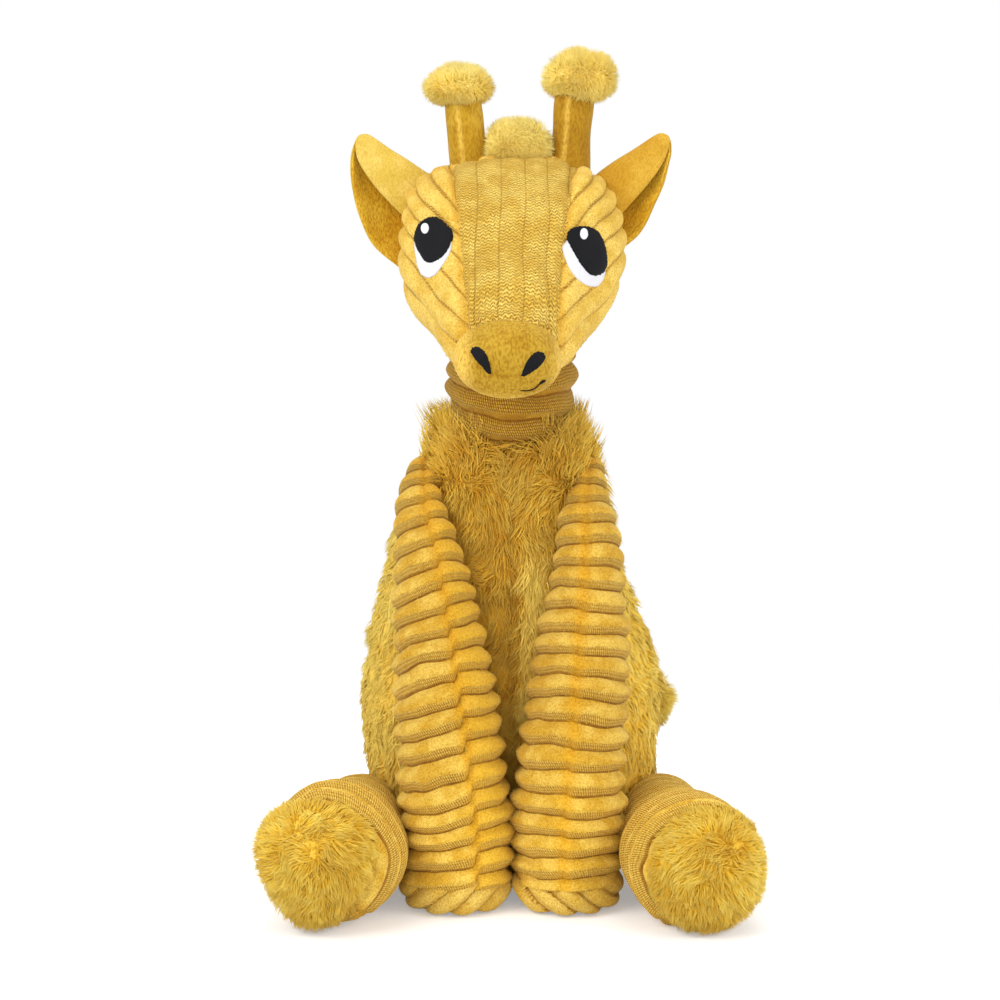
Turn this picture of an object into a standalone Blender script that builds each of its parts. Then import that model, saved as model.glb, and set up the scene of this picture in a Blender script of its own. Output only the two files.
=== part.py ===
# Sitting plush giraffe: stuffed body, neck and head, four ribbed limbs, ears, horns and tail.
# Metres, +Z up. The toy looks along -Y, so its own left side is at +X.
# The origin is on the floor, in the middle of the flat seat.

import math

import bmesh
import bpy
import numpy as np
from mathutils import Matrix, Vector
from mathutils.bvhtree import BVHTree

# Cloth, seams and clearances
SKIN = 0.0020
RIB_CLOTH = 0.0026
FIT_GAP = 0.0003
SEAM_GAP = 0.0007
FLOOR_FLAT = 0.0005
OVERRUN = 0.0200
SIDES = (("left", 1), ("right", -1))

# Torso: a pear that is widest low down
TORSO_HEIGHT = 0.1780
TORSO_WIDTH = 0.1180
TORSO_DEPTH = 0.0990
TORSO_SETBACK = 0.0110
SEAT_SEAM_HEIGHT = 0.0100
SIDE_SEAM_BACK = 0.0090
torso_shares = (
    # height, width, depth, setback
    (0.000, 0.440, 0.460, 1.00),
    (0.000, 0.580, 0.600, 1.00),
    (0.035, 0.740, 0.780, 1.00),
    (0.170, 0.925, 0.950, 1.00),
    (0.350, 1.000, 1.000, 1.00),
    (0.500, 0.960, 0.940, 0.90),
    (0.640, 0.850, 0.840, 0.80),
    (0.780, 0.730, 0.720, 0.60),
    (0.900, 0.610, 0.620, 0.20),
    (1.000, 0.520, 0.560, -0.20),
    (1.080, 0.400, 0.440, -0.30),
)
PELLET_POUCH_WIDTH = 0.0560
PELLET_POUCH_DEPTH = 0.0500
PELLET_POUCH_HEIGHT = 0.0260
PELLET_PLAY = 0.0004
pouch_mouth_share = 0.33

# Neck: a short stub whose ribbed cloth is bunched in folds
NECK_RADIUS = 0.0265
NECK_GROOVE = 0.0026
NECK_HEIGHT = 0.0215
NECK_FORWARD = 0.0080
NECK_FOLDS = 3
NECK_BALL_RADIUS = 0.0220
NECK_BALL_RISE = 0.0340
NECK_SOCKET_PLAY = 0.0004
NECK_COLUMN_PLAY = 0.0012
NECK_TIP = math.radians(4.5)
ball_shares = (-0.30, 0.00, 0.35, 0.65, 0.87, 0.98)

# Head: lofted along a line from the back of the skull to the nose
HEAD_WIDTH = 0.0870
HEAD_HEIGHT = 0.0800
HEAD_LENGTH = 0.1210
HEAD_BACK = 0.0100
HEAD_RISE = 0.0840
HEAD_BACK_HEIGHT = TORSO_HEIGHT + HEAD_RISE
HEAD_DROOP = math.radians(26.6)
head_shares = (
    # along the head, width, height
    (-0.050, 0.280, 0.300),
    (0.020, 0.620, 0.640),
    (0.130, 0.870, 0.900),
    (0.300, 1.020, 1.020),
    (0.450, 0.960, 0.920),
    (0.620, 0.740, 0.690),
    (0.760, 0.560, 0.540),
    (0.880, 0.500, 0.450),
    (0.970, 0.400, 0.350),
    (1.010, 0.200, 0.180),
)
FOREHEAD_TOP_WIDTH = 0.0500
FOREHEAD_NOSE_WIDTH = 0.0320
MUZZLE_LENGTH = 0.0190
NAPE_LENGTH = 0.0240
CHIN_DROP = 0.0120

# Embroidery on the face, placed across the head's width and below the back of the skull
eye_spacing_share = 0.655
eye_drop_share = 0.1125
nostril_spacing_share = 0.2184
nostril_drop_share = 0.606
nostril_narrowing_share = 0.6
smile_offset_share = 0.0862
smile_drop_share = 0.725
smile_shares = (0.0, 0.25, 0.5, 0.75, 1.0)
STITCH_DEPTH = 0.0006
STITCH_LIFT = 0.0005
EYE_WHITE_WIDTH = 0.0150
EYE_WHITE_HEIGHT = 0.0200
PUPIL_WIDTH = 0.0142
PUPIL_HEIGHT = 0.0175
GLINT_WIDTH = 0.0027
GLINT_HEIGHT = 0.0042
EYE_SLANT = math.radians(22.0)
WHITE_DROP = 0.0050
WHITE_SHIFT = 0.0012
GLINT_RISE = 0.0046
GLINT_SHIFT = 0.0028
NOSTRIL_LENGTH = 0.0112
NOSTRIL_WIDTH = 0.0044
NOSTRIL_SLANT = math.radians(40.0)
SMILE_LENGTH = 0.0095
SMILE_RISE = 0.0035
SMILE_RADIUS = 0.0005

# Horns with round tufts, and the tuft of mane between them
horn_spacing_share = 0.4828
horn_rise_share = 0.225
mane_rise_share = 0.375
HORN_RADIUS = 0.0075
HORN_HEIGHT = 0.0280
HORN_SPLAY = 0.0030
HORN_FORWARD = 0.0180
HORN_TUFT_WIDTH = 0.0270
HORN_TUFT_HEIGHT = 0.0200
HORN_TUFT_SEAT = 0.0040
MANE_TUFT_WIDTH = 0.0230
MANE_TUFT_DEPTH = 0.0170
MANE_TUFT_HEIGHT = 0.0200

# Ears: leaf-shaped, a back piece and a lining, folding at the root
EAR_REACH = 0.0335
EAR_LENGTH = 0.0370
EAR_CLOTH = 0.0028
EAR_EDGE = 0.0011
EAR_RISE = 0.0020
EAR_ROOT_HEIGHT = HEAD_BACK_HEIGHT + EAR_RISE
EAR_FORWARD = 0.0200
EAR_HINGE_INSET = 0.0035
EAR_GAP = 0.0011
ear_root_share = 0.40
ear_hinge_shares = (-0.36, -0.18, 0.00, 0.20, 0.40)
ear_shares = (
    # reach, length, going round from the foot of the root
    (0.00, 0.00),
    (0.18, 0.02),
    (0.38, 0.09),
    (0.60, 0.26),
    (0.72, 0.43),
    (0.88, 0.60),
    (0.98, 0.76),
    (0.98, 0.91),
    (0.89, 1.00),
    (0.67, 0.97),
    (0.42, 0.92),
    (0.14, 0.89),
    (0.00, 0.87),
)

# Arms: ribbed tubes that hang from the shoulders and lie on the belly
shoulder_height_share = 0.9326
shoulder_spacing_share = 0.644
SHOULDER_HEIGHT = TORSO_HEIGHT * shoulder_height_share
SHOULDER_SPACING = TORSO_WIDTH * shoulder_spacing_share
SHOULDER_BORE = 0.0012
ARM_RADIUS = 0.0210
ARM_MIDDLE_GAP = 0.0008
ARM_RIBS = 18
ARM_GROOVE = 0.0022
SOLE_HEIGHT = 0.0130
ARM_REST_GAP = 0.0006
arm_shares = (
    # height, radius, place between the shoulder's and the sole's distance from the middle
    (1.00, 0.240, 0.00),
    (0.90, 0.450, 0.12),
    (0.81, 0.620, 0.30),
    (0.70, 0.730, 0.45),
    (0.57, 0.810, 0.62),
    (0.42, 0.910, 0.76),
    (0.28, 0.975, 0.88),
    (0.12, 1.000, 1.00),
    (0.00, 1.000, 1.00),
)
sole_shares = (
    # height, radius
    (1.00, 1.000),
    (0.55, 0.970),
    (0.20, 0.860),
    (0.00, 0.700),
)

# Legs: ribbed tubes that stretch forwards along the floor, with a furry foot
HIP_OUTSET = 0.0010
HIP_INSET = 0.0150
HIP_FORWARD = 0.0060
HIP_RADIUS = 0.0155
HIP_PLAY = 0.0008
LEG_REACH = 0.0800
LEG_SPLAY = 0.0078
ANKLE_RADIUS = 0.0247
LEG_RIBS = 9
LEG_GROOVE = 0.0024
LEG_LIFTS = (0.0, math.radians(7.5), math.radians(15.0))
FOOT_RADIUS = 0.0240
FOOT_LENGTH = 0.0210
leg_shares = (
    # along the leg, place between the hip's and the ankle's radius
    (0.00, 0.00),
    (0.50, 0.25),
    (0.75, 0.55),
    (0.90, 0.95),
    (1.00, 1.00),
)
dome_shares = (0.00, 0.30, 0.55, 0.78, 0.93, 0.99)

# Tail: a ribbed tube that lies round the back to the toy's left, with a tuft
TAIL_RADIUS = 0.0045
TAIL_HEIGHT = 0.0440
TAIL_TIP_RISE = 0.0130
TAIL_START = math.radians(2.0)
TAIL_END = math.radians(52.0)
TAIL_TUFT_LENGTH = 0.0240
TAIL_TUFT_RADIUS = 0.0090
TAIL_GAP = 0.0006
TAIL_RIBS = 9
TAIL_STEPS = 8
TAIL_GROOVE = 0.0008

# How finely the forms are drawn
CAGE_SIDES = 12
TUBE_RESOLUTION = 2
BALL_SEGMENTS = 12
BALL_RINGS = 8
SOCKET_FINENESS = 2
FITTING_STEPS = 60
SHARP_ANGLE = math.radians(50.0)
WELD = FIT_GAP / 10

THREAD_ROUGHNESS = 0.5

GOLD = (0.66, 0.39, 0.045)
PALE_GOLD = (0.75, 0.48, 0.08)
AMBER = (0.52, 0.29, 0.025)
FILL_WHITE = (0.86, 0.85, 0.82)
BLACK = (0.012, 0.012, 0.013)
WHITE = (0.84, 0.84, 0.85)
PELLET_GREY = (0.55, 0.56, 0.58)

parts = None
cutters = None


def start_scene():
    """Clear the scene and make one collection for the parts and one for the cutters."""
    global parts, cutters
    for obj in list(bpy.data.objects):
        bpy.data.objects.remove(obj)
    parts = bpy.data.collections.new("plush_giraffe")
    cutters = bpy.data.collections.new("cutters")
    for group in (parts, cutters):
        bpy.context.scene.collection.children.link(group)


def material(name, colour, roughness=0.95, metallic=0.0):
    """A plain cloth-like material."""
    made = bpy.data.materials.new(name)
    made.use_nodes = True
    made.diffuse_color = (*colour, 1.0)
    shader = made.node_tree.nodes["Principled BSDF"]
    shader.inputs["Base Color"].default_value = (*colour, 1.0)
    shader.inputs["Roughness"].default_value = roughness
    shader.inputs["Metallic"].default_value = metallic
    return made


def add_part(name, mesh, colour, roughness=0.95):
    """Link a mesh as a named part with its own material."""
    obj = bpy.data.objects.new(name, mesh)
    mesh.materials.clear()
    mesh.materials.append(material(name + "_cloth", colour, roughness))
    parts.objects.link(obj)
    mesh.shade_smooth()
    mesh.set_sharp_from_angle(angle=SHARP_ANGLE)
    return obj


def add_cutter(name, mesh):
    """Link a mesh as a hidden guide that only cuts."""
    obj = bpy.data.objects.new(name, mesh)
    cutters.objects.link(obj)
    obj.hide_render = True
    obj.display_type = "WIRE"
    return obj


def cut(obj, *tools):
    """Take each tool's shape out of the part."""
    for tool in tools:
        boolean = obj.modifiers.new("cut_by_" + tool.name, "BOOLEAN")
        boolean.operation = "DIFFERENCE"
        boolean.solver = "EXACT"
        boolean.object = tool


def evaluated_mesh(obj):
    """The object's shape with its modifiers, as a mesh of its own."""
    depsgraph = bpy.context.evaluated_depsgraph_get()
    depsgraph.update()
    return bpy.data.meshes.new_from_object(obj.evaluated_get(depsgraph))


def box_mesh(low, high):
    """A box between two corners."""
    bm = bmesh.new()
    bmesh.ops.create_cube(bm, size=1.0)
    size = Vector(high) - Vector(low)
    bmesh.ops.scale(bm, vec=size, verts=bm.verts)
    bmesh.ops.translate(bm, vec=(Vector(high) + Vector(low)) / 2, verts=bm.verts)
    return finished(bm, "box")


def finished(bm, name):
    """Turn a bmesh into a mesh with its faces pointing out."""
    bmesh.ops.recalc_face_normals(bm, faces=bm.faces)
    mesh = bpy.data.meshes.new(name)
    bm.to_mesh(mesh)
    bm.free()
    return mesh


def ball_mesh(centre, half_sizes, turn=None, fineness=1):
    """An ellipsoid from a sphere primitive."""
    bm = bmesh.new()
    bmesh.ops.create_uvsphere(bm, u_segments=BALL_SEGMENTS * fineness,
                              v_segments=BALL_RINGS * fineness, radius=1.0)
    bmesh.ops.scale(bm, vec=half_sizes, verts=bm.verts)
    if turn:
        bmesh.ops.transform(bm, matrix=turn, verts=bm.verts)
    bmesh.ops.translate(bm, vec=centre, verts=bm.verts)
    return finished(bm, "ball")


def form_mesh(rings):
    """A soft form: elliptical rings of a coarse cage, smoothed by subdivision.

    Each ring is a centre, two half axes and the half sizes along them. The cage
    stands outside its ellipse by the amount that subdivision draws it in.
    """
    fullness = 6.0 / (4.0 + 2.0 * math.cos(2.0 * math.pi / CAGE_SIDES))
    bm = bmesh.new()
    loops = []
    for centre, across, upward, half_width, half_height in rings:
        loop = []
        for side in range(CAGE_SIDES):
            angle = 2.0 * math.pi * (side + 0.5) / CAGE_SIDES
            offset = across * (half_width * math.cos(angle)) + upward * (half_height * math.sin(angle))
            loop.append(bm.verts.new(centre + offset * fullness))
        loops.append(loop)
    for lower, upper in zip(loops, loops[1:]):
        for side in range(CAGE_SIDES):
            following = (side + 1) % CAGE_SIDES
            bm.faces.new((lower[side], lower[following], upper[following], upper[side]))
    bm.faces.new(loops[0])
    bm.faces.new(loops[-1])
    cage = bpy.data.objects.new("form_cage", finished(bm, "form_cage"))
    cutters.objects.link(cage)
    smoothing = cage.modifiers.new("soft_form", "SUBSURF")
    smoothing.levels = 1
    smoothing.render_levels = 1
    mesh = evaluated_mesh(cage)
    bpy.data.objects.remove(cage)
    return mesh


def grown(mesh, distance):
    """A copy of the form moved out, or in where the distance is negative, along its normals."""
    guide = bpy.data.objects.new("grown_form", mesh.copy())
    cutters.objects.link(guide)
    push = guide.modifiers.new("offset", "DISPLACE")
    push.strength = distance
    push.mid_level = 0.0
    made = evaluated_mesh(guide)
    bpy.data.objects.remove(guide)
    return made


def panel(name, form, planes, colour, thickness=SKIN):
    """A sewn panel: the stretch of the form inside the planes, given the cloth's thickness.

    Each plane is a point and a direction, and what lies beyond it is left off.
    """
    bm = bmesh.new()
    bm.from_mesh(form)
    for point, outward in planes:
        geometry = list(bm.verts) + list(bm.edges) + list(bm.faces)
        bmesh.ops.bisect_plane(bm, geom=geometry, plane_co=point, plane_no=outward,
                               clear_outer=True)
    mesh = bpy.data.meshes.new(name)
    bm.to_mesh(mesh)
    bm.free()
    obj = add_part(name, mesh, colour)
    shell = obj.modifiers.new("cloth", "SOLIDIFY")
    shell.thickness = thickness
    shell.offset = -1.0
    return obj


def tube_mesh(points, radii, resolution=TUBE_RESOLUTION):
    """A closed tube through the points, with a radius at each."""
    widest = max(radii)
    curve = bpy.data.curves.new("tube", "CURVE")
    curve.dimensions = "3D"
    curve.bevel_depth = widest
    curve.bevel_resolution = resolution
    curve.use_fill_caps = True
    curve.twist_mode = "MINIMUM"
    spline = curve.splines.new("POLY")
    spline.points.add(len(points) - 1)
    for place, point, radius in zip(spline.points, points, radii):
        place.co = (*point, 1.0)
        place.radius = radius / widest
    guide = bpy.data.objects.new("tube", curve)
    cutters.objects.link(guide)
    mesh = evaluated_mesh(guide)
    bpy.data.objects.remove(guide)
    bm = bmesh.new()
    bm.from_mesh(mesh)
    bmesh.ops.remove_doubles(bm, verts=bm.verts, dist=WELD)
    return finished(bm, "tube")


def resampled(points, values, count):
    """Evenly spaced points along a line, each with its interpolated value."""
    points = np.array([tuple(point) for point in points])
    steps = np.linalg.norm(np.diff(points, axis=0), axis=1)
    along = np.concatenate(([0.0], np.cumsum(steps)))
    places = np.linspace(0.0, along[-1], count)
    spread = [np.interp(places, along, points[:, axis]) for axis in range(3)]
    return [Vector(point) for point in zip(*spread)], list(np.interp(places, along, values))


def ribbed(points, radii, ribs, groove):
    """Points and radii of a ribbed tube: each rib is a wide point and a narrow one."""
    line, widths = resampled(points, radii, 2 * ribs + 1)
    grooved = [width - groove * (place % 2) for place, width in enumerate(widths)]
    return line, grooved


def surface_of(mesh):
    """A tree that finds the nearest place on a mesh."""
    bm = bmesh.new()
    bm.from_mesh(mesh)
    tree = BVHTree.FromBMesh(bm)
    bm.free()
    return tree


def clear_of(surface, start, heading, distance):
    """Move from the start along the heading until the surface is the given distance away."""
    heading = heading.normalized()
    place = start.copy()
    for step in range(FITTING_STEPS):
        nearest = surface.find_nearest(place)
        spare = nearest[3] - distance
        if spare < WELD / 10:
            break
        place += heading * spare
    return place


def laid_on(surface, across, height):
    """The place and the facing of the head's front at a distance from the middle and a height."""
    start = Vector((across, -HEAD_LENGTH - HEAD_WIDTH, height))
    place, facing, index, distance = surface.ray_cast(start, Vector((0, 1, 0)))
    if place is None:
        place, facing, index, distance = surface.find_nearest(Vector((across, 0, height)))
    return place, facing


def torso_rings():
    """Rings of the torso, from the seat to above the neck seam."""
    rings = []
    for height, width, depth, setback in torso_shares:
        centre = Vector((0, TORSO_SETBACK * setback, TORSO_HEIGHT * height - FLOOR_FLAT))
        rings.append((centre, Vector((1, 0, 0)), Vector((0, 1, 0)),
                      TORSO_WIDTH / 2 * width, TORSO_DEPTH / 2 * depth))
    return rings


def head_axis():
    """The point at the back of the skull and the directions along and up the head."""
    back = Vector((0, HEAD_BACK, HEAD_BACK_HEIGHT))
    along = Vector((0, -math.cos(HEAD_DROOP), -math.sin(HEAD_DROOP)))
    upward = Vector((0, -math.sin(HEAD_DROOP), math.cos(HEAD_DROOP)))
    return back, along, upward


def head_rings():
    """Rings of the head, from the back of the skull to the nose."""
    back, along, upward = head_axis()
    rings = []
    for place, width, height in head_shares:
        rings.append((back + along * (HEAD_LENGTH * place), Vector((1, 0, 0)), upward,
                      HEAD_WIDTH / 2 * width, HEAD_HEIGHT / 2 * height))
    return rings


def hip_centre(side):
    """The middle of the ball at the top of a leg."""
    return Vector((side * (TORSO_WIDTH / 2 + HIP_OUTSET), -HIP_FORWARD, ANKLE_RADIUS - FLOOR_FLAT))


def leg_line(side, lift=0.0):
    """The leg's points and radii from hip to ankle, swung up by an angle."""
    hip = hip_centre(side)
    reach = Vector((side * LEG_SPLAY, -LEG_REACH, 0))
    swing = Matrix.Rotation(-lift, 4, "X")
    points = [hip + swing @ (reach * share) for share, widening in leg_shares]
    radii = [HIP_RADIUS + (ANKLE_RADIUS - HIP_RADIUS) * widening for share, widening in leg_shares]
    return points, radii


def rounded_start(points, radii, radius):
    """Put a rounded end before the first point of a line."""
    heading = (points[1] - points[0]).normalized()
    ends = []
    widths = []
    for share in reversed(dome_shares[1:]):
        ends.append(points[0] - heading * (radius * share))
        widths.append(radius * math.sqrt(1.0 - share * share))
    return ends + list(points), widths + list(radii)


def joined(meshes):
    """One closed shape from several that overlap."""
    guides = []
    for mesh in meshes:
        guide = bpy.data.objects.new("joined", mesh)
        cutters.objects.link(guide)
        guides.append(guide)
    for guide in guides[1:]:
        union = guides[0].modifiers.new("union", "BOOLEAN")
        union.operation = "UNION"
        union.solver = "EXACT"
        union.object = guide
    made = evaluated_mesh(guides[0])
    for guide in guides:
        bpy.data.objects.remove(guide)
    return made


def hip_tools():
    """Cutters that leave the torso clear of each leg through its whole swing."""
    tools = []
    for name, side in SIDES:
        hip = hip_centre(side)
        inner = side * (TORSO_WIDTH / 2 - HIP_INSET)
        outer = side * (TORSO_WIDTH / 2 + OVERRUN)
        radius = HIP_RADIUS + 2 * HIP_PLAY
        disc = tube_mesh([Vector((inner, hip.y, hip.z)), Vector((outer, hip.y, hip.z))],
                         [radius, radius], resolution=2 * TUBE_RESOLUTION)
        low = Vector((min(inner, outer), -TORSO_DEPTH, -OVERRUN))
        high = Vector((max(inner, outer), hip.y + radius + HIP_PLAY, hip.z))
        shapes = [disc, box_mesh(low, high)]
        for lift in LEG_LIFTS:
            points, radii = leg_line(side, lift)
            shapes.append(tube_mesh(points, [width + HIP_PLAY for width in radii]))
        tools.append(add_cutter(name + "_hip_room", joined(shapes)))
    return tools


def build_torso(form):
    """Four body panels, a seat panel, the stuffing and the pouch of pellets."""
    half_seam = SEAM_GAP / 2
    top = Vector((0, 0, TORSO_HEIGHT))
    tools = hip_tools()
    floor = add_cutter("floor", box_mesh((-TORSO_WIDTH, -TORSO_DEPTH - LEG_REACH, -OVERRUN),
                                         (TORSO_WIDTH, TORSO_DEPTH, 0)))
    for where, backward in (("front", -1), ("back", 1)):
        for name, side in SIDES:
            planes = [
                (top, Vector((0, 0, 1))),
                (Vector((0, 0, SEAT_SEAM_HEIGHT + half_seam)), Vector((0, 0, -1))),
                (Vector((side * half_seam, 0, 0)), Vector((-side, 0, 0))),
                (Vector((0, SIDE_SEAM_BACK + backward * half_seam, 0)), Vector((0, -backward, 0))),
            ]
            cover = panel("torso_" + where + "_" + name + "_panel", form, planes, GOLD)
            cut(cover, *[tool for tool in tools if tool.name.startswith(name)])
    seat = panel("seat_panel", form, [(Vector((0, 0, SEAT_SEAM_HEIGHT - half_seam)),
                                       Vector((0, 0, 1)))], GOLD)
    cut(seat, floor, *tools)
    inner = grown(form, -(SKIN + FIT_GAP))
    filling = add_part("torso_filling", inner, FILL_WHITE)
    lid = add_cutter("torso_lid", box_mesh((-TORSO_WIDTH, -TORSO_DEPTH, TORSO_HEIGHT),
                                           (TORSO_WIDTH, TORSO_DEPTH, TORSO_HEIGHT + OVERRUN)))
    pouch_low = SKIN + FIT_GAP + PELLET_PLAY
    pouch_centre = Vector((0, TORSO_SETBACK, pouch_low + PELLET_POUCH_HEIGHT / 2))
    pouch_half = Vector((PELLET_POUCH_WIDTH, PELLET_POUCH_DEPTH, PELLET_POUCH_HEIGHT)) / 2
    room = Vector([size + PELLET_PLAY for size in pouch_half])
    pocket = add_cutter("pellet_pocket", ball_mesh(pouch_centre, room))
    mouth = add_cutter("pellet_mouth", tube_mesh(
        [Vector((0, TORSO_SETBACK, -OVERRUN)), pouch_centre],
        [PELLET_POUCH_DEPTH * pouch_mouth_share] * 2))
    cut(filling, lid, pocket, mouth, *tools)
    add_part("seat_pellet_pouch", ball_mesh(pouch_centre, pouch_half), PELLET_GREY)
    return floor


def build_neck():
    """The bunched ribbed sleeve, closed over the head's ball, and the stuffing in it."""
    base = Vector((0, -NECK_FORWARD, TORSO_HEIGHT + FIT_GAP))
    top = base + Vector((0, 0, NECK_HEIGHT))
    ball = neck_ball_centre()
    outside, widths = ribbed([base, top], [NECK_RADIUS, NECK_RADIUS], NECK_FOLDS, NECK_GROOVE)
    outside += [ball + Vector((0, 0, NECK_BALL_RADIUS * share)) for share in ball_shares]
    widths += [NECK_BALL_RADIUS * math.sqrt(1.0 - share * share) for share in ball_shares]
    sleeve = add_part("neck_sleeve", tube_mesh(outside, widths, 2 * TUBE_RESOLUTION), GOLD)
    below = base - Vector((0, 0, OVERRUN))
    hollow = NECK_BALL_RADIUS - SKIN
    rise = [ball + Vector((0, 0, hollow * share)) for share in ball_shares[1:]]
    cap = [hollow * math.sqrt(1.0 - share * share) for share in ball_shares[1:]]
    bore = tube_mesh([below] + rise, [hollow] + cap, 2 * TUBE_RESOLUTION)
    cut(sleeve, add_cutter("neck_bore", bore))
    core = hollow - FIT_GAP
    rise = [ball + Vector((0, 0, core * share)) for share in ball_shares[1:]]
    cap = [core * math.sqrt(1.0 - share * share) for share in ball_shares[1:]]
    stuffing = tube_mesh([base] + rise, [core] + cap, 2 * TUBE_RESOLUTION)
    add_part("neck_filling", stuffing, FILL_WHITE)


def neck_ball_centre():
    """The point that the head nods about."""
    return Vector((0, -NECK_FORWARD, TORSO_HEIGHT + NECK_BALL_RISE))


def neck_room():
    """A cutter for the hollow in the head: round the neck's ball, and round the neck itself
    where it meets the chin as the head nods."""
    ball = neck_ball_centre()
    facet = math.pi / (BALL_SEGMENTS * SOCKET_FINENESS)
    radius = (NECK_BALL_RADIUS + NECK_SOCKET_PLAY) / math.cos(facet) ** 2
    socket = ball_mesh(ball, [radius] * 3, fineness=SOCKET_FINENESS)
    down = Vector((0, -math.sin(NECK_TIP), -math.cos(NECK_TIP)))
    column = tube_mesh([ball, ball + down * NECK_BALL_RISE],
                       [NECK_RADIUS + NECK_COLUMN_PLAY] * 2, 2 * TUBE_RESOLUTION)
    return add_cutter("neck_room", joined([socket, column]))


def build_head(form):
    """Sewn head panels over the stuffing, which is hollowed for the neck's ball."""
    back, along, upward = head_axis()
    half_seam = SEAM_GAP / 2
    muzzle_seam = back + along * (HEAD_LENGTH - MUZZLE_LENGTH)
    nape_seam = back + along * NAPE_LENGTH
    socket = neck_room()
    middle = HEAD_LENGTH - MUZZLE_LENGTH - NAPE_LENGTH
    taper = math.atan2((FOREHEAD_TOP_WIDTH - FOREHEAD_NOSE_WIDTH) / 2, middle)
    chin_seam = back - upward * CHIN_DROP
    under = (chin_seam + upward * half_seam, -upward)
    shared = [(muzzle_seam - along * half_seam, along), (nape_seam + along * half_seam, -along)]
    edges = []
    for name, side in SIDES:
        turn = Matrix.Rotation(side * taper, 4, upward)
        outward = turn @ Vector((side, 0, 0))
        edge = nape_seam + Vector((side * FOREHEAD_TOP_WIDTH / 2, 0, 0))
        edges.append((name, side, edge, outward))
    forehead_planes = shared + [under] + [(edge - outward * half_seam, outward)
                                          for name, side, edge, outward in edges]
    panel("forehead_panel", form, forehead_planes, PALE_GOLD)
    for name, side, edge, outward in edges:
        planes = shared + [(edge + outward * half_seam, -outward)]
        cut(panel(name + "_cheek_panel", form, planes, PALE_GOLD), socket)
    chin_planes = shared + [(chin_seam - upward * half_seam, upward)]
    chin_planes += [(edge - outward * half_seam, outward) for name, side, edge, outward in edges]
    cut(panel("chin_panel", form, chin_planes, GOLD), socket)
    panel("muzzle_panel", form, [(muzzle_seam + along * half_seam, -along)], PALE_GOLD)
    cut(panel("nape_panel", form, [(nape_seam - along * half_seam, along)], GOLD), socket)
    filling = add_part("head_filling", grown(form, -(SKIN + FIT_GAP)), FILL_WHITE)
    cut(filling, socket)


def patch(name, surface, centre, half_width, half_height, slant, lift, colour, point_share=0.0):
    """Embroidery: an oval laid on the face from in front, narrower at one end if asked."""
    bm = bmesh.new()
    bmesh.ops.create_circle(bm, cap_ends=True, segments=CAGE_SIDES, radius=1.0)
    spokes = bmesh.ops.poke(bm, faces=bm.faces)["verts"][0].link_edges
    bmesh.ops.subdivide_edges(bm, edges=list(spokes), cuts=1)
    turn = Matrix.Rotation(slant, 3, "Y")
    for vert in bm.verts:
        narrow = 1.0 - point_share * (0.5 - vert.co.y / 2)
        flat = turn @ Vector((vert.co.x * half_width * narrow, 0, vert.co.y * half_height))
        place, facing = laid_on(surface, centre[0] + flat.x, centre[1] + flat.z)
        vert.co = place + facing * lift
    mesh = finished(bm, name)
    if mesh.polygons[0].normal.y > 0:
        mesh.flip_normals()
    obj = add_part(name, mesh, colour, THREAD_ROUGHNESS)
    thread = obj.modifiers.new("thread", "SOLIDIFY")
    thread.thickness = STITCH_DEPTH
    thread.offset = 1.0
    return obj


def build_face(surface):
    """Eyes, nostrils and smile, stitched on the head's panels."""
    layer = STITCH_DEPTH + FIT_GAP
    eye_height = HEAD_BACK_HEIGHT - HEAD_HEIGHT * eye_drop_share
    nostril_height = HEAD_BACK_HEIGHT - HEAD_HEIGHT * nostril_drop_share
    for name, side in SIDES:
        middle = side * HEAD_WIDTH * eye_spacing_share / 2
        slant = -side * EYE_SLANT
        patch(name + "_eye_white", surface, (middle - WHITE_SHIFT, eye_height - WHITE_DROP),
              EYE_WHITE_WIDTH / 2, EYE_WHITE_HEIGHT / 2, slant, STITCH_LIFT, WHITE)
        patch(name + "_pupil", surface, (middle, eye_height), PUPIL_WIDTH / 2, PUPIL_HEIGHT / 2,
              slant, STITCH_LIFT + layer, BLACK)
        patch(name + "_eye_glint", surface, (middle - GLINT_SHIFT, eye_height + GLINT_RISE),
              GLINT_WIDTH / 2, GLINT_HEIGHT / 2, 0.0, STITCH_LIFT + 2 * layer, WHITE)
        across = side * HEAD_WIDTH * nostril_spacing_share / 2
        patch(name + "_nostril", surface, (across, nostril_height),
              NOSTRIL_WIDTH / 2, NOSTRIL_LENGTH / 2, side * NOSTRIL_SLANT, STITCH_LIFT, BLACK,
              nostril_narrowing_share)
    points = []
    smile_height = HEAD_BACK_HEIGHT - HEAD_HEIGHT * smile_drop_share
    for share in smile_shares:
        across = HEAD_WIDTH * smile_offset_share + SMILE_LENGTH * (share - 0.5)
        place, facing = laid_on(surface, across, smile_height + SMILE_RISE * share * share)
        points.append(place + facing * (SMILE_RADIUS + FIT_GAP))
    smile = tube_mesh(points, [SMILE_RADIUS] * len(points))
    add_part("smile_stitch", smile, BLACK, THREAD_ROUGHNESS)


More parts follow.
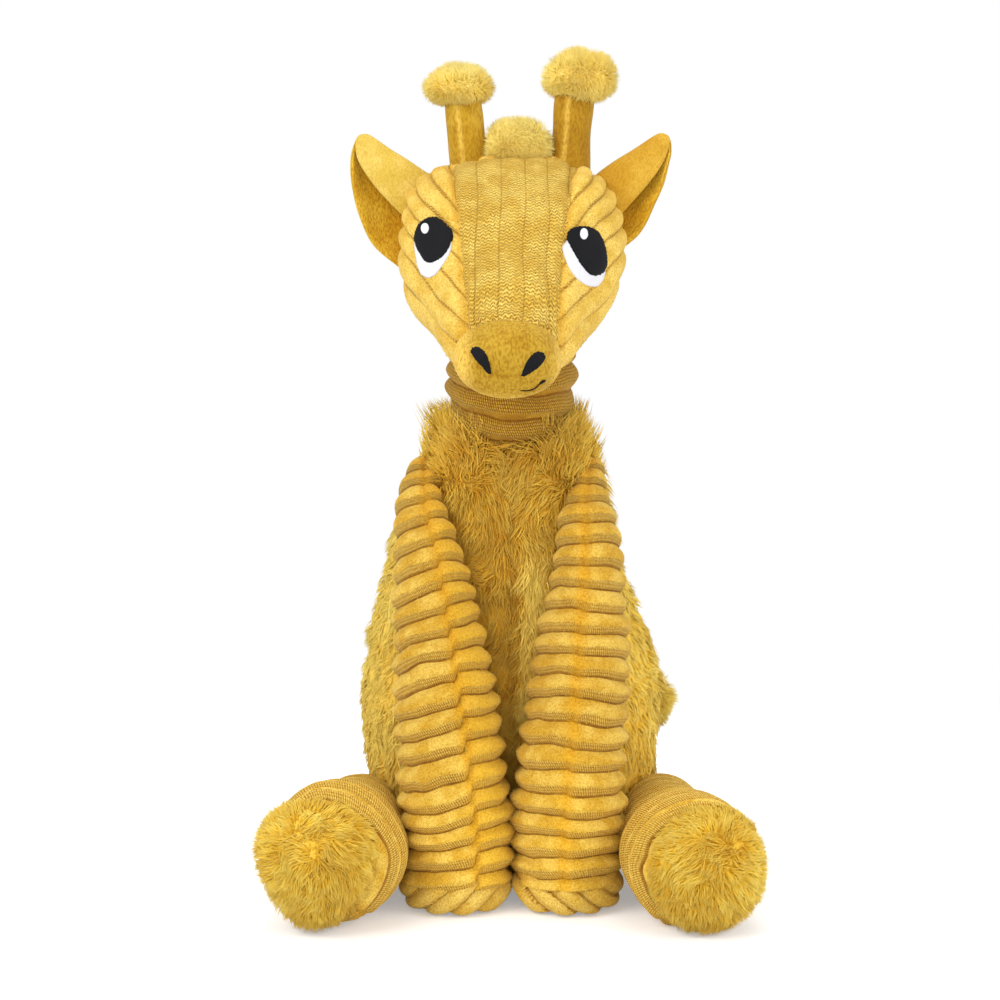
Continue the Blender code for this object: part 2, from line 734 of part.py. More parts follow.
def build_horns(head_room):
    """Two stub horns with round tufts, and the tuft of mane between them."""
    base_height = HEAD_BACK_HEIGHT + HEAD_HEIGHT * horn_rise_share
    for name, side in SIDES:
        base = Vector((side * HEAD_WIDTH * horn_spacing_share / 2, -HORN_FORWARD, base_height))
        tip = base + Vector((side * HORN_SPLAY, 0, HORN_HEIGHT))
        horn = add_part(name + "_horn", tube_mesh([base, tip], [HORN_RADIUS, HORN_RADIUS],
                                                  2 * TUBE_RESOLUTION), GOLD)
        cut(horn, head_room)
        centre = tip + Vector((0, 0, HORN_TUFT_HEIGHT / 2 - HORN_TUFT_SEAT))
        half = Vector((HORN_TUFT_WIDTH, HORN_TUFT_WIDTH, HORN_TUFT_HEIGHT)) / 2
        tuft = add_part(name + "_horn_tuft", ball_mesh(centre, half), PALE_GOLD)
        room = HORN_RADIUS + FIT_GAP
        lifted = (tip - base).normalized() * FIT_GAP
        cut(tuft, add_cutter(name + "_horn_room", tube_mesh([base, tip + lifted], [room, room],
                                                            2 * TUBE_RESOLUTION)))
    centre = Vector((0, -HORN_FORWARD, HEAD_BACK_HEIGHT + HEAD_HEIGHT * mane_rise_share))
    half = Vector((MANE_TUFT_WIDTH, MANE_TUFT_DEPTH, MANE_TUFT_HEIGHT)) / 2
    tuft = add_part("mane_tuft", ball_mesh(centre, half), PALE_GOLD)
    cut(tuft, head_room)


def ear_mesh(side, thickness):
    """A leaf cut from thick cloth, standing on its root line, with soft edges."""
    curve = bpy.data.curves.new("ear", "CURVE")
    curve.dimensions = "2D"
    curve.fill_mode = "BOTH"
    curve.extrude = thickness / 2
    spline = curve.splines.new("POLY")
    spline.points.add(len(ear_shares) - 1)
    for place, (reach, length) in zip(spline.points, ear_shares):
        place.co = (side * EAR_REACH * reach, EAR_LENGTH * (length - ear_root_share), 0, 1.0)
    spline.use_cyclic_u = True
    guide = bpy.data.objects.new("ear", curve)
    cutters.objects.link(guide)
    weld = guide.modifiers.new("weld", "WELD")
    weld.merge_threshold = WELD
    edge = guide.modifiers.new("soft_edge", "BEVEL")
    edge.width = EAR_EDGE
    edge.segments = 2
    edge.limit_method = "ANGLE"
    mesh = evaluated_mesh(guide)
    bpy.data.objects.remove(guide)
    mesh.transform(Matrix.Rotation(math.radians(90.0), 4, "X"))
    return mesh


def ear_root(side, surface):
    """The middle and the lean of an ear's hinge line, laid along the side of the head."""
    places = []
    for share in ear_hinge_shares:
        start = Vector((side * HEAD_WIDTH, -EAR_FORWARD, EAR_ROOT_HEIGHT + EAR_LENGTH * share))
        places.append(clear_of(surface, start, Vector((-side, 0, 0)), EAR_GAP + EAR_HINGE_INSET))
    foot, top = places[0], places[-1]
    slope = (top.x - foot.x) / (top.z - foot.z)
    outward = max(side * (place.x - foot.x - slope * (place.z - foot.z)) for place in places)
    middle = (foot + top) / 2 + Vector((side * outward, 0, 0))
    return middle, math.atan(slope)


def build_ears(surface):
    """Back cloth and lining of each ear, hung on the hinge line at the root."""
    for name, side in SIDES:
        root, lean = ear_root(side, surface)
        hinge = bpy.data.objects.new(name + "_ear_hinge", None)
        parts.objects.link(hinge)
        hinge.location = root
        hinge.rotation_euler = (0, lean, 0)
        for layer, backward, colour in (("back", 1, GOLD), ("lining", -1, AMBER)):
            mesh = ear_mesh(side, EAR_CLOTH)
            shift = Vector((-side * EAR_HINGE_INSET, backward * (EAR_CLOTH + SEAM_GAP) / 2, 0))
            mesh.transform(Matrix.Translation(shift))
            ear = add_part(name + "_ear_" + layer, mesh, colour)
            ear.parent = hinge


def arm_line(side, surface):
    """The arm's points and radii, lying on the belly from the shoulder down to the sole."""
    shoulder = SHOULDER_SPACING / 2
    foot = ARM_RADIUS + ARM_MIDDLE_GAP / 2
    points = []
    radii = []
    for height, width, inward in arm_shares:
        radius = ARM_RADIUS * width
        x = side * (shoulder + (foot - shoulder) * inward)
        z = SOLE_HEIGHT + (SHOULDER_HEIGHT - SOLE_HEIGHT) * height
        start = Vector((x, -TORSO_DEPTH, z))
        points.append(clear_of(surface, start, Vector((0, 1, 0)), radius + ARM_REST_GAP))
        radii.append(radius)
    points[-1].y = points[-2].y
    return points, radii


def build_arms(surface, floor):
    """Ribbed sleeve, stuffing and domed sole of each arm."""
    for name, side in SIDES:
        points, radii = arm_line(side, surface)
        outside, widths = ribbed(points, radii, ARM_RIBS, ARM_GROOVE)
        outside, widths = rounded_start(outside, widths, widths[0])
        sleeve = add_part(name + "_arm_sleeve", tube_mesh(outside, widths), GOLD)
        inner = [max(radius - RIB_CLOTH - ARM_GROOVE, SHOULDER_BORE) for radius in radii]
        past = points[-1] - Vector((0, 0, OVERRUN))
        bore = tube_mesh(points[1:] + [past], inner[1:] + [inner[-1]])
        cut(sleeve, add_cutter(name + "_arm_bore", bore))
        thinner = [radius - FIT_GAP for radius in inner[1:]]
        start = points[1] + Vector((0, 0, -FIT_GAP))
        stuffing = tube_mesh([start] + points[2:], thinner)
        add_part(name + "_arm_filling", stuffing, FILL_WHITE)
        below = points[-1] - Vector((0, 0, FIT_GAP))
        drop = below.z + FLOOR_FLAT
        sole_points = [below - Vector((0, 0, drop * (1.0 - share))) for share, width in sole_shares]
        sole_radii = [ARM_RADIUS * width for share, width in sole_shares]
        sole = add_part(name + "_arm_sole", tube_mesh(sole_points, sole_radii), GOLD)
        cut(sole, floor)


def build_legs(floor):
    """Ribbed sleeve, stuffing and furry foot of each leg."""
    for name, side in SIDES:
        points, radii = leg_line(side)
        heading = (points[-1] - points[0]).normalized()
        outside, widths = ribbed(points, radii, LEG_RIBS, LEG_GROOVE)
        outside, widths = rounded_start(outside, widths, HIP_RADIUS)
        sleeve = add_part(name + "_leg_sleeve", tube_mesh(outside, widths), GOLD)
        inner = [radius - RIB_CLOTH - LEG_GROOVE for radius in radii]
        past = points[-1] + heading * OVERRUN
        cut(sleeve, floor, add_cutter(name + "_leg_bore", tube_mesh(points + [past],
                                                                    inner + [inner[-1]])))
        ankle = points[-1] + heading * FIT_GAP
        cover_points = [ankle + heading * (FOOT_LENGTH * share) for share in dome_shares]
        cover_radii = [FOOT_RADIUS * math.sqrt(1.0 - share * share) for share in dome_shares]
        cover = add_part(name + "_foot_cover", tube_mesh(cover_points, cover_radii), PALE_GOLD)
        hollow_length = FOOT_LENGTH - SKIN
        hollow_radius = FOOT_RADIUS - SKIN
        hollow_points = [ankle + heading * (hollow_length * share) for share in dome_shares]
        hollow_radii = [hollow_radius * math.sqrt(1.0 - share * share) for share in dome_shares]
        mouth = ankle - heading * OVERRUN
        cut(cover, floor, add_cutter(name + "_foot_hollow", tube_mesh(
            [mouth] + hollow_points, [hollow_radius] + hollow_radii)))
        first = points[0] + heading * FIT_GAP
        stuffing_points = [first] + points[1:]
        stuffing_radii = [radius - FIT_GAP for radius in inner]
        core = FOOT_RADIUS - SKIN - 2 * FIT_GAP
        for share in dome_shares[:-1]:
            stuffing_points.append(ankle + heading * (FIT_GAP + (hollow_length - 2 * FIT_GAP) * share))
            stuffing_radii.append(core * math.sqrt(1.0 - share * share))
        stuffing_radii[len(points) - 1] = inner[-1] - FIT_GAP
        add_part(name + "_leg_filling", tube_mesh(stuffing_points, stuffing_radii), FILL_WHITE)


def tail_point(angle, height, surface, distance):
    """A place off the torso's back, at an angle from straight behind towards the left."""
    outward = Vector((math.sin(angle), math.cos(angle), 0))
    start = Vector((0, TORSO_SETBACK, height)) + outward * TORSO_WIDTH
    return clear_of(surface, start, -outward, distance)


def build_tail(surface):
    """The ribbed tail that lies against the back, and its tuft."""
    points = []
    for step in range(TAIL_STEPS + 1):
        share = step / TAIL_STEPS
        angle = TAIL_START + (TAIL_END - TAIL_START) * share
        height = TAIL_HEIGHT + TAIL_TIP_RISE * share
        points.append(tail_point(angle, height, surface, TAIL_RADIUS + TAIL_GAP))
    outside, widths = ribbed(points, [TAIL_RADIUS] * len(points), TAIL_RIBS, TAIL_GROOVE)
    add_part("tail_sleeve", tube_mesh(outside, widths), GOLD)
    heading = (points[-1] - points[-2]).normalized()
    away = Vector((heading.y, -heading.x, 0)) * -1.0
    centre = points[-1] + heading * (TAIL_TUFT_LENGTH / 2 + FIT_GAP)
    offset = TAIL_TUFT_RADIUS - TAIL_RADIUS
    centre += away * (-offset if away.dot(centre) < 0 else offset)
    half = Vector((TAIL_TUFT_LENGTH / 2, TAIL_TUFT_RADIUS, TAIL_TUFT_RADIUS))
    turn = Vector((1, 0, 0)).rotation_difference(heading).to_matrix().to_4x4()
    tuft = add_part("tail_tuft", ball_mesh(centre, half, turn), PALE_GOLD)
    room = TAIL_RADIUS + FIT_GAP
    cut(tuft, add_cutter("tail_room", tube_mesh([points[-2], points[-1] + heading * FIT_GAP],
                                                [room, room])))


def main():
    """Build the whole toy."""
    start_scene()
    torso_form = form_mesh(torso_rings())
    torso_surface = surface_of(torso_form)
    floor = build_torso(torso_form)
    build_neck()
    head_form = form_mesh(head_rings())
    head_surface = surface_of(head_form)
    build_head(head_form)
    build_face(head_surface)
    head_room = add_cutter("head_room", grown(head_form, FIT_GAP))
    build_horns(head_room)
    build_ears(head_surface)
    build_arms(torso_surface, floor)
    build_legs(floor)
    build_tail(torso_surface)


main()
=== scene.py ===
# Looks of the sitting plush giraffe: long-pile fur, wide-ribbed plush, velour and embroidery.
# Metres, +Z up. The toy looks along -Y, so its own left side is at +X.

import math

import bpy
import numpy as np
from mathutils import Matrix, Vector
from mathutils.bvhtree import BVHTree
from mathutils.kdtree import KDTree


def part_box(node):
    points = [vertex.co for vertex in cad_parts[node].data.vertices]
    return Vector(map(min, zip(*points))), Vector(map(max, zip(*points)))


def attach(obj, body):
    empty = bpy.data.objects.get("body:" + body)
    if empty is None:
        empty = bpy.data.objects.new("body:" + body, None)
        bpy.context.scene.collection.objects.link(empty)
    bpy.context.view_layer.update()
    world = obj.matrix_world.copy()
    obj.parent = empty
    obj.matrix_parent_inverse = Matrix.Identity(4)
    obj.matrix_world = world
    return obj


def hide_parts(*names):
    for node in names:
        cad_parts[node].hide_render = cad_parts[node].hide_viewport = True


MM = 0.001
TURN = 2.0 * math.pi
SIDES = (("left", 1), ("right", -1))
AHEAD = np.array((0.0, -1.0, 0.0))
UPRIGHT = np.array((0.0, 0.0, 1.0))

# The picture's frame: where the camera stands and how it looks
CAMERA_PLACE = (-0.0044, -1.0303, 0.2951)
CAMERA_DROP = math.radians(8.0)
FOCAL_PIXELS = 2600.0
FRAME_PIXELS = 1000.0
SENSOR = 36.0

# Torso rows: height, width, depth and setback as shares of the sizes below
TORSO_SIZE = (0.1180, 0.0990, 0.1780)
TORSO_SETBACK = 0.0110
SIDE_SEAM = 0.0090
torso_rows = np.array((
    (-0.002, 0.020, 0.020, 1.00), (0.000, 0.440, 0.460, 1.00), (0.012, 0.620, 0.640, 1.00),
    (0.060, 0.780, 0.800, 1.00), (0.170, 0.925, 0.950, 1.00), (0.350, 1.000, 1.000, 1.00),
    (0.500, 0.960, 0.940, 0.90), (0.640, 0.850, 0.840, 0.80), (0.780, 0.730, 0.720, 0.60),
    (0.880, 0.620, 0.630, 0.25), (0.950, 0.530, 0.560, 0.00), (0.990, 0.440, 0.480, -0.15),
    (1.010, 0.360, 0.400, -0.20), (1.020, 0.010, 0.010, -0.20)))

# Head rows: place along the head, width and height as shares of the sizes below
HEAD_BACK = np.array((0.0, 0.0100, 0.2620))
HEAD_DROOP = math.radians(26.6)
HEAD_SIZE = (0.0842, 0.0796, 0.1210)
NAPE_SEAM = 0.0240
MUZZLE_SEAM = 0.1020
BROW_HALF = (0.0235, 0.0165)
head_rows = np.array((
    (-0.062, 0.001, 0.001), (-0.050, 0.260, 0.280), (0.020, 0.620, 0.640), (0.130, 0.870, 0.900),
    (0.300, 1.010, 1.010), (0.450, 0.960, 0.930), (0.620, 0.745, 0.700), (0.760, 0.565, 0.560),
    (0.830, 0.440, 0.420), (0.900, 0.432, 0.388), (0.965, 0.360, 0.312), (0.998, 0.205, 0.175),
    (1.008, 0.001, 0.001)))

# Arms: the line of the toy's right arm, mirrored, from shoulder to sole, its radius, and how
# much further in the left arm starts
ARM_RADIUS = 0.0210
ARM_PITCH = 0.0085
arm_line = np.array((
    (0.0345, -0.0070, 0.1670), (0.0355, -0.0120, 0.1630), (0.0355, -0.0250, 0.1507),
    (0.0330, -0.0339, 0.1369), (0.0305, -0.0413, 0.1201), (0.0277, -0.0473, 0.1002),
    (0.0254, -0.0529, 0.0773), (0.0234, -0.0553, 0.0558), (0.0216, -0.0545, 0.0314),
    (0.0216, -0.0545, 0.0110)))
arm_shares = np.array((0.12, 0.24, 0.43, 0.58, 0.71, 0.81, 0.91, 0.97, 1.01, 0.98))
left_arm_inset = np.array((2.5, 4.5, 5.6, 3.2, 1.5, 0.4, 0, 0, 0, 0)) * MM
SOLE_RADIUS = 0.0206

# Legs: hip to ankle, the sleeve's radii along the way, and the furry foot
HIP = np.array((0.0600, -0.0060, 0.0242))
ANKLE = np.array((0.0678, -0.0860, 0.0242))
LEG_PITCH = 0.0088
leg_stops = np.array((0.0, 0.05, 0.15, 0.35, 0.52, 0.68, 0.82, 0.90, 0.96, 1.0))
leg_radii = np.array((2.0, 9.0, 14.5, 17.0, 20.0, 22.6, 24.6, 24.4, 22.2, 18.0)) * MM
FOOT_RADIUS = 0.0226
FOOT_LENGTH = 0.0190

# Neck and tail
NECK_PITCH = 0.0092
TAIL_RADIUS = 0.0045
TAIL_PITCH = 0.0052

# Hairs of each piece of fur
FRONT_HAIRS = 12600
BACK_HAIRS = 11500
FOOT_HAIRS = 12400
FUZZ_HAIRS = 12000
HORN_TUFT_HAIRS = 9000
MANE_HAIRS = 8600
TAIL_TUFT_HAIRS = 4600

# Where along a rib its crest lies
CREST = 0.42

# Cloth simulation: run larger than life, where it is steady
SIM_SCALE = 10.0
SIM_PRESSURE = 4.0
LIMB_PRESSURE = 30.0
SIM_FRAMES = 20

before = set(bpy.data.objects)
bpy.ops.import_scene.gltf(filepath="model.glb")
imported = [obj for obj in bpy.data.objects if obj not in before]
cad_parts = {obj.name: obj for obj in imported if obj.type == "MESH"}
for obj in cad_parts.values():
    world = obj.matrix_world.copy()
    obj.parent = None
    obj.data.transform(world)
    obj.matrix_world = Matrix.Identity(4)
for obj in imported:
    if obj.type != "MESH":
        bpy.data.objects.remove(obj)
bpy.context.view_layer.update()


def smooth(places, values, at):
    """A curve through the values at the places, read at other places."""
    places, values, at = (np.asarray(item, float) for item in (places, values, at))
    slopes = np.gradient(values, places, axis=0)
    index = np.clip(np.searchsorted(places, at) - 1, 0, len(places) - 2)
    gap = places[index + 1] - places[index]
    t = (at - places[index]) / gap
    spare = (1,) * (values.ndim - 1)
    gap, t = gap.reshape(gap.shape + spare), t.reshape(t.shape + spare)
    start, end = values[index], values[index + 1]
    out, back = slopes[index] * gap, slopes[index + 1] * gap
    return (start * (1 + 2 * t) * (1 - t) ** 2 + out * t * (1 - t) ** 2
            + end * t * t * (3 - 2 * t) + back * t * t * (t - 1))


def ease(low, high, value):
    """From 0 at low to 1 at high, without corners."""
    t = np.clip((value - low) / (high - low), 0.0, 1.0)
    return t * t * (3 - 2 * t)


def hump(value, width):
    """1 where the value is 0, fading out over the width on both sides."""
    return np.exp(-(value / width) ** 2)


def unit(vectors):
    """The vectors at length one."""
    return vectors / np.maximum(np.linalg.norm(vectors, axis=-1, keepdims=True), 1e-12)


def along_surface(pull, normals):
    """The way a pull leads along the surface."""
    return unit(pull - normals * (pull * normals).sum(-1, keepdims=True))


def stacked(*parts):
    """Coordinates as points, each spread over the shape that all share."""
    return np.stack(np.broadcast_arrays(*parts), -1)


def turns(count, start=0.0):
    """Evenly spread angles of one turn."""
    return np.arange(count) / count * TURN + start


def drift(points, size, seed, waves=9):
    """A soft uneven value of about -1 to 1 at each point, that changes over the given size."""
    pick = np.random.default_rng(seed)
    headings = unit(pick.normal(size=(waves, 3))) * pick.uniform(0.6, 1.5, (waves, 1))
    phases = pick.uniform(0, TURN, waves)
    return np.sin(points @ headings.T * (TURN / size) + phases).sum(-1) / math.sqrt(waves)


def stirred(points, size, seed):
    """A soft uneven direction at each point."""
    return np.stack([drift(points, size, seed + axis) for axis in range(3)], -1)


def raw_mesh(name, points, faces, values=None):
    """A mesh from points, arrays of faces and values at the points."""
    mesh = bpy.data.meshes.new(name)
    points = np.asarray(points, np.float32).reshape(-1, 3)
    mesh.vertices.add(len(points))
    mesh.vertices.foreach_set("co", points.ravel())
    corners = np.concatenate([part.ravel() for part in faces]).astype(np.int32)
    sizes = np.concatenate([np.full(len(part), part.shape[1]) for part in faces])
    starts = np.concatenate(([0], np.cumsum(sizes)[:-1])).astype(np.int32)
    mesh.loops.add(len(corners))
    mesh.loops.foreach_set("vertex_index", corners)
    mesh.polygons.add(len(sizes))
    mesh.polygons.foreach_set("loop_start", starts)
    for key, spread in (values or {}).items():
        layer = mesh.attributes.new(key, "FLOAT", "POINT")
        layer.data.foreach_set("value", np.asarray(spread, np.float32).ravel())
    mesh.update(calc_edges=True)
    mesh.validate()
    mesh.shade_smooth()
    return mesh


def face_out(mesh):
    """Turn the faces out where most of them look in."""
    count = len(mesh.polygons)
    normals, centres, areas = np.empty(count * 3), np.empty(count * 3), np.empty(count)
    mesh.polygons.foreach_get("normal", normals)
    mesh.polygons.foreach_get("center", centres)
    mesh.polygons.foreach_get("area", areas)
    centres = centres.reshape(-1, 3)
    middle = np.average(centres, axis=0, weights=areas)
    facing = ((centres - middle) * normals.reshape(-1, 3)).sum(1) * areas
    if facing.sum() < 0:
        mesh.flip_normals()


def skin_mesh(name, grid, values=None, keep=None):
    """A mesh over rows of rings: closed at both ends, or only the cells that keep marks."""
    rows, columns = grid.shape[:2]
    index = np.arange(rows * columns).reshape(rows, columns)
    beside = np.roll(index, -1, 1)
    cells = np.stack((index[:-1], beside[:-1], beside[1:], index[1:]), -1)
    points = grid.reshape(-1, 3)
    spread = {key: np.broadcast_to(value, (rows, columns)).reshape(-1)
              for key, value in (values or {}).items()}
    if keep is None:
        points = np.vstack((points, grid[0].mean(0), grid[-1].mean(0)))
        spread = {key: np.append(value, (value[:columns].mean(), value[-columns:].mean()))
                  for key, value in spread.items()}
        first = np.full(columns, rows * columns)
        faces = [cells.reshape(-1, 4), np.stack((beside[0], index[0], first), -1),
                 np.stack((index[-1], beside[-1], first + 1), -1)]
    else:
        used, places = np.unique(cells[keep], return_inverse=True)
        faces = [places.reshape(-1, 4)]
        points = points[used]
        spread = {key: value[used] for key, value in spread.items()}
    mesh = raw_mesh(name, points, faces, spread)
    face_out(mesh)
    return mesh


def plumped(grid, held, cap, step=2, pressure=SIM_PRESSURE):
    """Blow padded cloth up between its seams, by a short cloth simulation on a thinned grid.

    held is 1 at seams, cap is how far the cloth may move.
    """
    rows = np.unique(np.append(np.arange(0, grid.shape[0], step), grid.shape[0] - 1))
    columns = np.arange(0, grid.shape[1], step)
    thin = grid[rows][:, columns]
    mesh = skin_mesh("plump", thin * SIM_SCALE)
    cloth = bpy.data.objects.new("plump", mesh)
    scene = bpy.context.scene
    scene.collection.objects.link(cloth)
    seams = cloth.vertex_groups.new(name="seams")
    pins = np.append(held[rows][:, columns].ravel(), (1.0, 1.0))
    for place in np.flatnonzero(pins > 0.02):
        seams.add([int(place)], float(min(pins[place], 1.0)), "REPLACE")
    fabric = cloth.modifiers.new("fabric", "CLOTH")
    fabric.settings.vertex_group_mass = "seams"
    fabric.settings.use_pressure = True
    fabric.settings.uniform_pressure_force = pressure
    fabric.settings.effector_weights.gravity = 0.0
    fabric.settings.quality = 4
    fabric.collision_settings.use_self_collision = False
    fabric.point_cache.frame_start, fabric.point_cache.frame_end = 1, SIM_FRAMES
    for moment in range(1, SIM_FRAMES + 1):
        scene.frame_set(moment)
    settled = cloth.evaluated_get(bpy.context.evaluated_depsgraph_get()).data
    points = np.empty(len(settled.vertices) * 3, np.float32)
    settled.vertices.foreach_get("co", points)
    moved = points.reshape(-1, 3)[:-2].reshape(thin.shape) / SIM_SCALE - thin
    bpy.data.objects.remove(cloth)
    bpy.data.meshes.remove(mesh)
    scene.frame_set(1)
    far = np.linalg.norm(moved, axis=-1, keepdims=True)
    moved = smooth(rows, moved * np.minimum(1, cap / np.maximum(far, 1e-9)),
                   np.arange(grid.shape[0]))
    ring = np.concatenate((moved, moved[:, :1]), 1).transpose(1, 0, 2)
    stops = np.append(columns, grid.shape[1])
    return grid + smooth(stops, ring, np.arange(grid.shape[1])).transpose(1, 0, 2)


def normals_of(grid, middle):
    """The direction out of a closed grid at each of its points."""
    along = np.gradient(grid, axis=0)
    across = np.roll(grid, -1, 1) - np.roll(grid, 1, 1)
    out = unit(np.cross(along, across))
    return out * np.sign(((grid - middle) * out).sum(-1).mean())


def scatter(grid, normals, count, seed, weight=1.0):
    """Random places on a closed grid, even over its area unless weighted, and their normals."""
    pick = np.random.default_rng(seed)
    beside = np.roll(grid, -1, 1)
    area = np.linalg.norm(np.cross(beside[:-1] - grid[:-1], grid[1:] - grid[:-1]), axis=-1)
    area = area * np.broadcast_to(weight, grid.shape[:2])[:-1]
    chosen = pick.choice(area.size, count, p=area.ravel() / area.sum())
    row, column = np.unravel_index(chosen, area.shape)
    down, over = pick.random((2, count))[:, :, None]
    following = (column + 1) % grid.shape[1]

    def read(values):
        top = values[row, column] * (1 - over) + values[row, following] * over
        low = values[row + 1, column] * (1 - over) + values[row + 1, following] * over
        return top * (1 - down) + low * down

    return read(grid), unit(read(normals))


def tube_grid(line, radii, angles, ahead):
    """Rings round a line, with the angle 0 towards ahead and growing towards the right of it."""
    headings = unit(np.gradient(line, axis=0))
    front = unit(ahead - headings * (headings @ ahead)[:, None])
    beside = np.cross(headings, front)
    turn = angles[None, :, None]
    out = front[:, None] * np.cos(turn) + beside[:, None] * np.sin(turn)
    return line[:, None] + out * radii[:, None, None], out


class Wire:
    """A socket of a material, with arithmetic that adds the nodes for it."""

    def __init__(self, finish, socket):
        self.finish = finish
        self.socket = socket

    def math(self, operation, *values):
        return self.finish.node("Math", {"operation": operation}, dict(enumerate(values)))

    def __add__(self, other):
        return self.math("ADD", self, other)

    def __sub__(self, other):
        return self.math("SUBTRACT", self, other)

    def __rsub__(self, other):
        return self.math("SUBTRACT", other, self)

    def __mul__(self, other):
        return self.math("MULTIPLY", self, other)

    __radd__ = __add__
    __rmul__ = __mul__

    def sine(self):
        return self.math("SINE", self)

    def wave(self):
        """A wave between 0 and 1."""
        return self.sine() * 0.5 + 0.5

    def fraction(self):
        return self.math("FRACT", self)

    def step(self, low, high):
        """From 0 at low to 1 at high, without corners."""
        return self.finish.node("MapRange", {"interpolation_type": "SMOOTHSTEP"},
                                {0: self, 1: low, 2: high})


class Finish:
    """A material: its nodes, and the shader that they feed."""

    def __init__(self, name, roughness, sheen=0.0, sheen_tint=(1.0, 0.80, 0.3)):
        self.material = bpy.data.materials.new(name)
        self.material.use_nodes = True
        self.tree = self.material.node_tree
        self.shader = self.tree.nodes["Principled BSDF"]
        for key, value in (("Roughness", roughness), ("Sheen Weight", sheen),
                           ("Sheen Roughness", 0.45), ("Sheen Tint", (*sheen_tint, 1.0)),
                           ("Specular IOR Level", 0.12)):
            self.shader.inputs[key].default_value = value

    def node(self, kind, settings=None, inputs=None, output=0):
        made = self.tree.nodes.new("ShaderNode" + kind)
        for key, value in (settings or {}).items():
            setattr(made, key, value)
        for key, value in (inputs or {}).items():
            if isinstance(value, Wire):
                self.tree.links.new(value.socket, made.inputs[key])
            else:
                made.inputs[key].default_value = value
        return Wire(self, made.outputs[output])

    def value(self, name):
        """A value that the mesh carries."""
        return self.node("Attribute", {"attribute_name": name}, output=2)

    def uneven(self, size, detail=2.0, scale=(1.0, 1.0, 1.0)):
        """Soft noise of a size in metres, stretched by a scale along each axis."""
        spot = self.node("TexCoord", output=3)
        place = self.node("VectorMath", {"operation": "MULTIPLY"}, {0: spot, 1: scale})
        return self.node("TexNoise", None, {"Vector": place, "Scale": 1.0 / size,
                                            "Detail": detail})

    def mix(self, factor, first, second, kind="MIX"):
        """A colour between two, or one laid on the other."""
        pair = [(*item, 1.0) if isinstance(item, tuple) else item for item in (first, second)]
        return self.node("Mix", {"data_type": "RGBA", "blend_type": kind},
                         {0: factor, 6: pair[0], 7: pair[1]}, output=2)

    def tinted(self, colour, tint):
        """A colour multiplied by a tint."""
        return self.mix(1.0, colour, tint, "MULTIPLY")

    def done(self, colour, height=None, depth=0.3 * MM, strength=0.7):
        """Feed the shader, with bumps from the height."""
        self.tree.links.new(colour.socket, self.shader.inputs["Base Color"])
        if height is not None:
            bump = self.node("Bump", None, {"Height": height, "Distance": depth,
                                            "Strength": strength})
            self.tree.links.new(bump.socket, self.shader.inputs["Normal"])
        return self.material


def fur_finish(name, root, middle, tip, glow=0.0):
    """Long pile: deep at the root, pale at the tip, each lock in its own tone; glow is a painted
    glow, emission of the pile's colour standing in for light through the hairs.
    """
    finish = Finish(name, 0.62, 0.2, (1.0, 0.78, 0.25))
    along = finish.value("tip")
    colour = finish.mix(along.step(0.0, 0.45), root, middle)
    colour = finish.mix(along.step(0.4, 1.0), colour, tip)
    colour = finish.mix(finish.uneven(21 * MM).step(0.35, 0.68),
                        finish.tinted(colour, (0.90, 0.82, 0.66)), colour)
    colour = finish.mix(finish.value("tone"), finish.tinted(colour, (0.64, 0.50, 0.32)), colour)
    # painted glow: the pile's own colour shines as emission, standing in for light that passes
    # through the hairs
    if glow:
        finish.tree.links.new(colour.socket, finish.shader.inputs["Emission Color"])
        finish.shader.inputs["Emission Strength"].default_value = glow
    return finish.done(colour)


def cord_finish(name, pitch, knit_from, bead=0.85 * MM, shade=0.45, groove_shadow=(0.26, 0.10, 0.005),
                ridge=((0.76, 0.52, 0.095), (0.62, 0.36, 0.032)),
                knitted=((0.46, 0.23, 0.012), (0.92, 0.65, 0.15))):
    """Wide-ribbed plush: a smooth ridge of pile, a knitted slope with beads, and a groove darkened
    by painted shade.

    The mesh carries how far its ribs lie turned, how low on the limb they are, and its seams. Low
    on the limb the cloth is painted lighter, painted light where the front light falls, and its
    knitted slope is wider.
    """
    finish = Finish(name, 0.72, 0.3)
    rib, thread, seam, turned, low = (finish.value(key) for key in
                                      ("rib", "thread", "seam", "turned", "low"))
    place = rib.fraction()
    edge = place + (finish.uneven(5 * MM) - 0.5) * 0.22 + low * 0.12
    knit = edge.step(knit_from, knit_from + 0.10) * (1.0 - place.step(0.95, 1.0))
    groove = place.step(0.87, 0.975) + (1.0 - place.step(0.0, 0.035))
    row = rib * (TURN * pitch / (1.15 * MM))
    beads = (thread * (TURN / bead) + row * 0.5).wave() * (row.sine() * 0.40 + 0.60)
    grain = finish.uneven(0.7 * MM, 3.0)
    ruffle = finish.uneven(2.5 * MM)
    colour = finish.mix(finish.uneven(9 * MM).step(0.38, 0.62), ridge[1], ridge[0])
    colour = finish.mix(turned * 0.8, colour, (0.74, 0.44, 0.030))
    colour = finish.mix(knit * (0.95 - turned * 0.35), colour,
                        finish.mix(beads.step(0.10, 0.48), *knitted))
    # painted shade: the grooves between the ribs are darkened, as if shade fell in them
    colour = finish.mix(groove * (finish.uneven(7 * MM) * 0.9 + shade), colour, groove_shadow)
    colour = finish.mix(seam * (ruffle * 0.9 + 0.2), colour, (0.72, 0.37, 0.012))
    colour = finish.mix(1.0 - grain.step(0.32, 0.64), colour,
                        finish.tinted(colour, (0.76, 0.64, 0.44)))
    # painted light: low on the limb the cloth is lighter, where the front light falls on the lower
    # arms and legs
    colour = finish.mix(low, colour, finish.tinted(colour, (1.19, 1.24, 1.24)))
    return finish.done(colour, grain * 0.8 + beads * knit - seam * ruffle * 0.5, 0.6 * MM, 0.9)


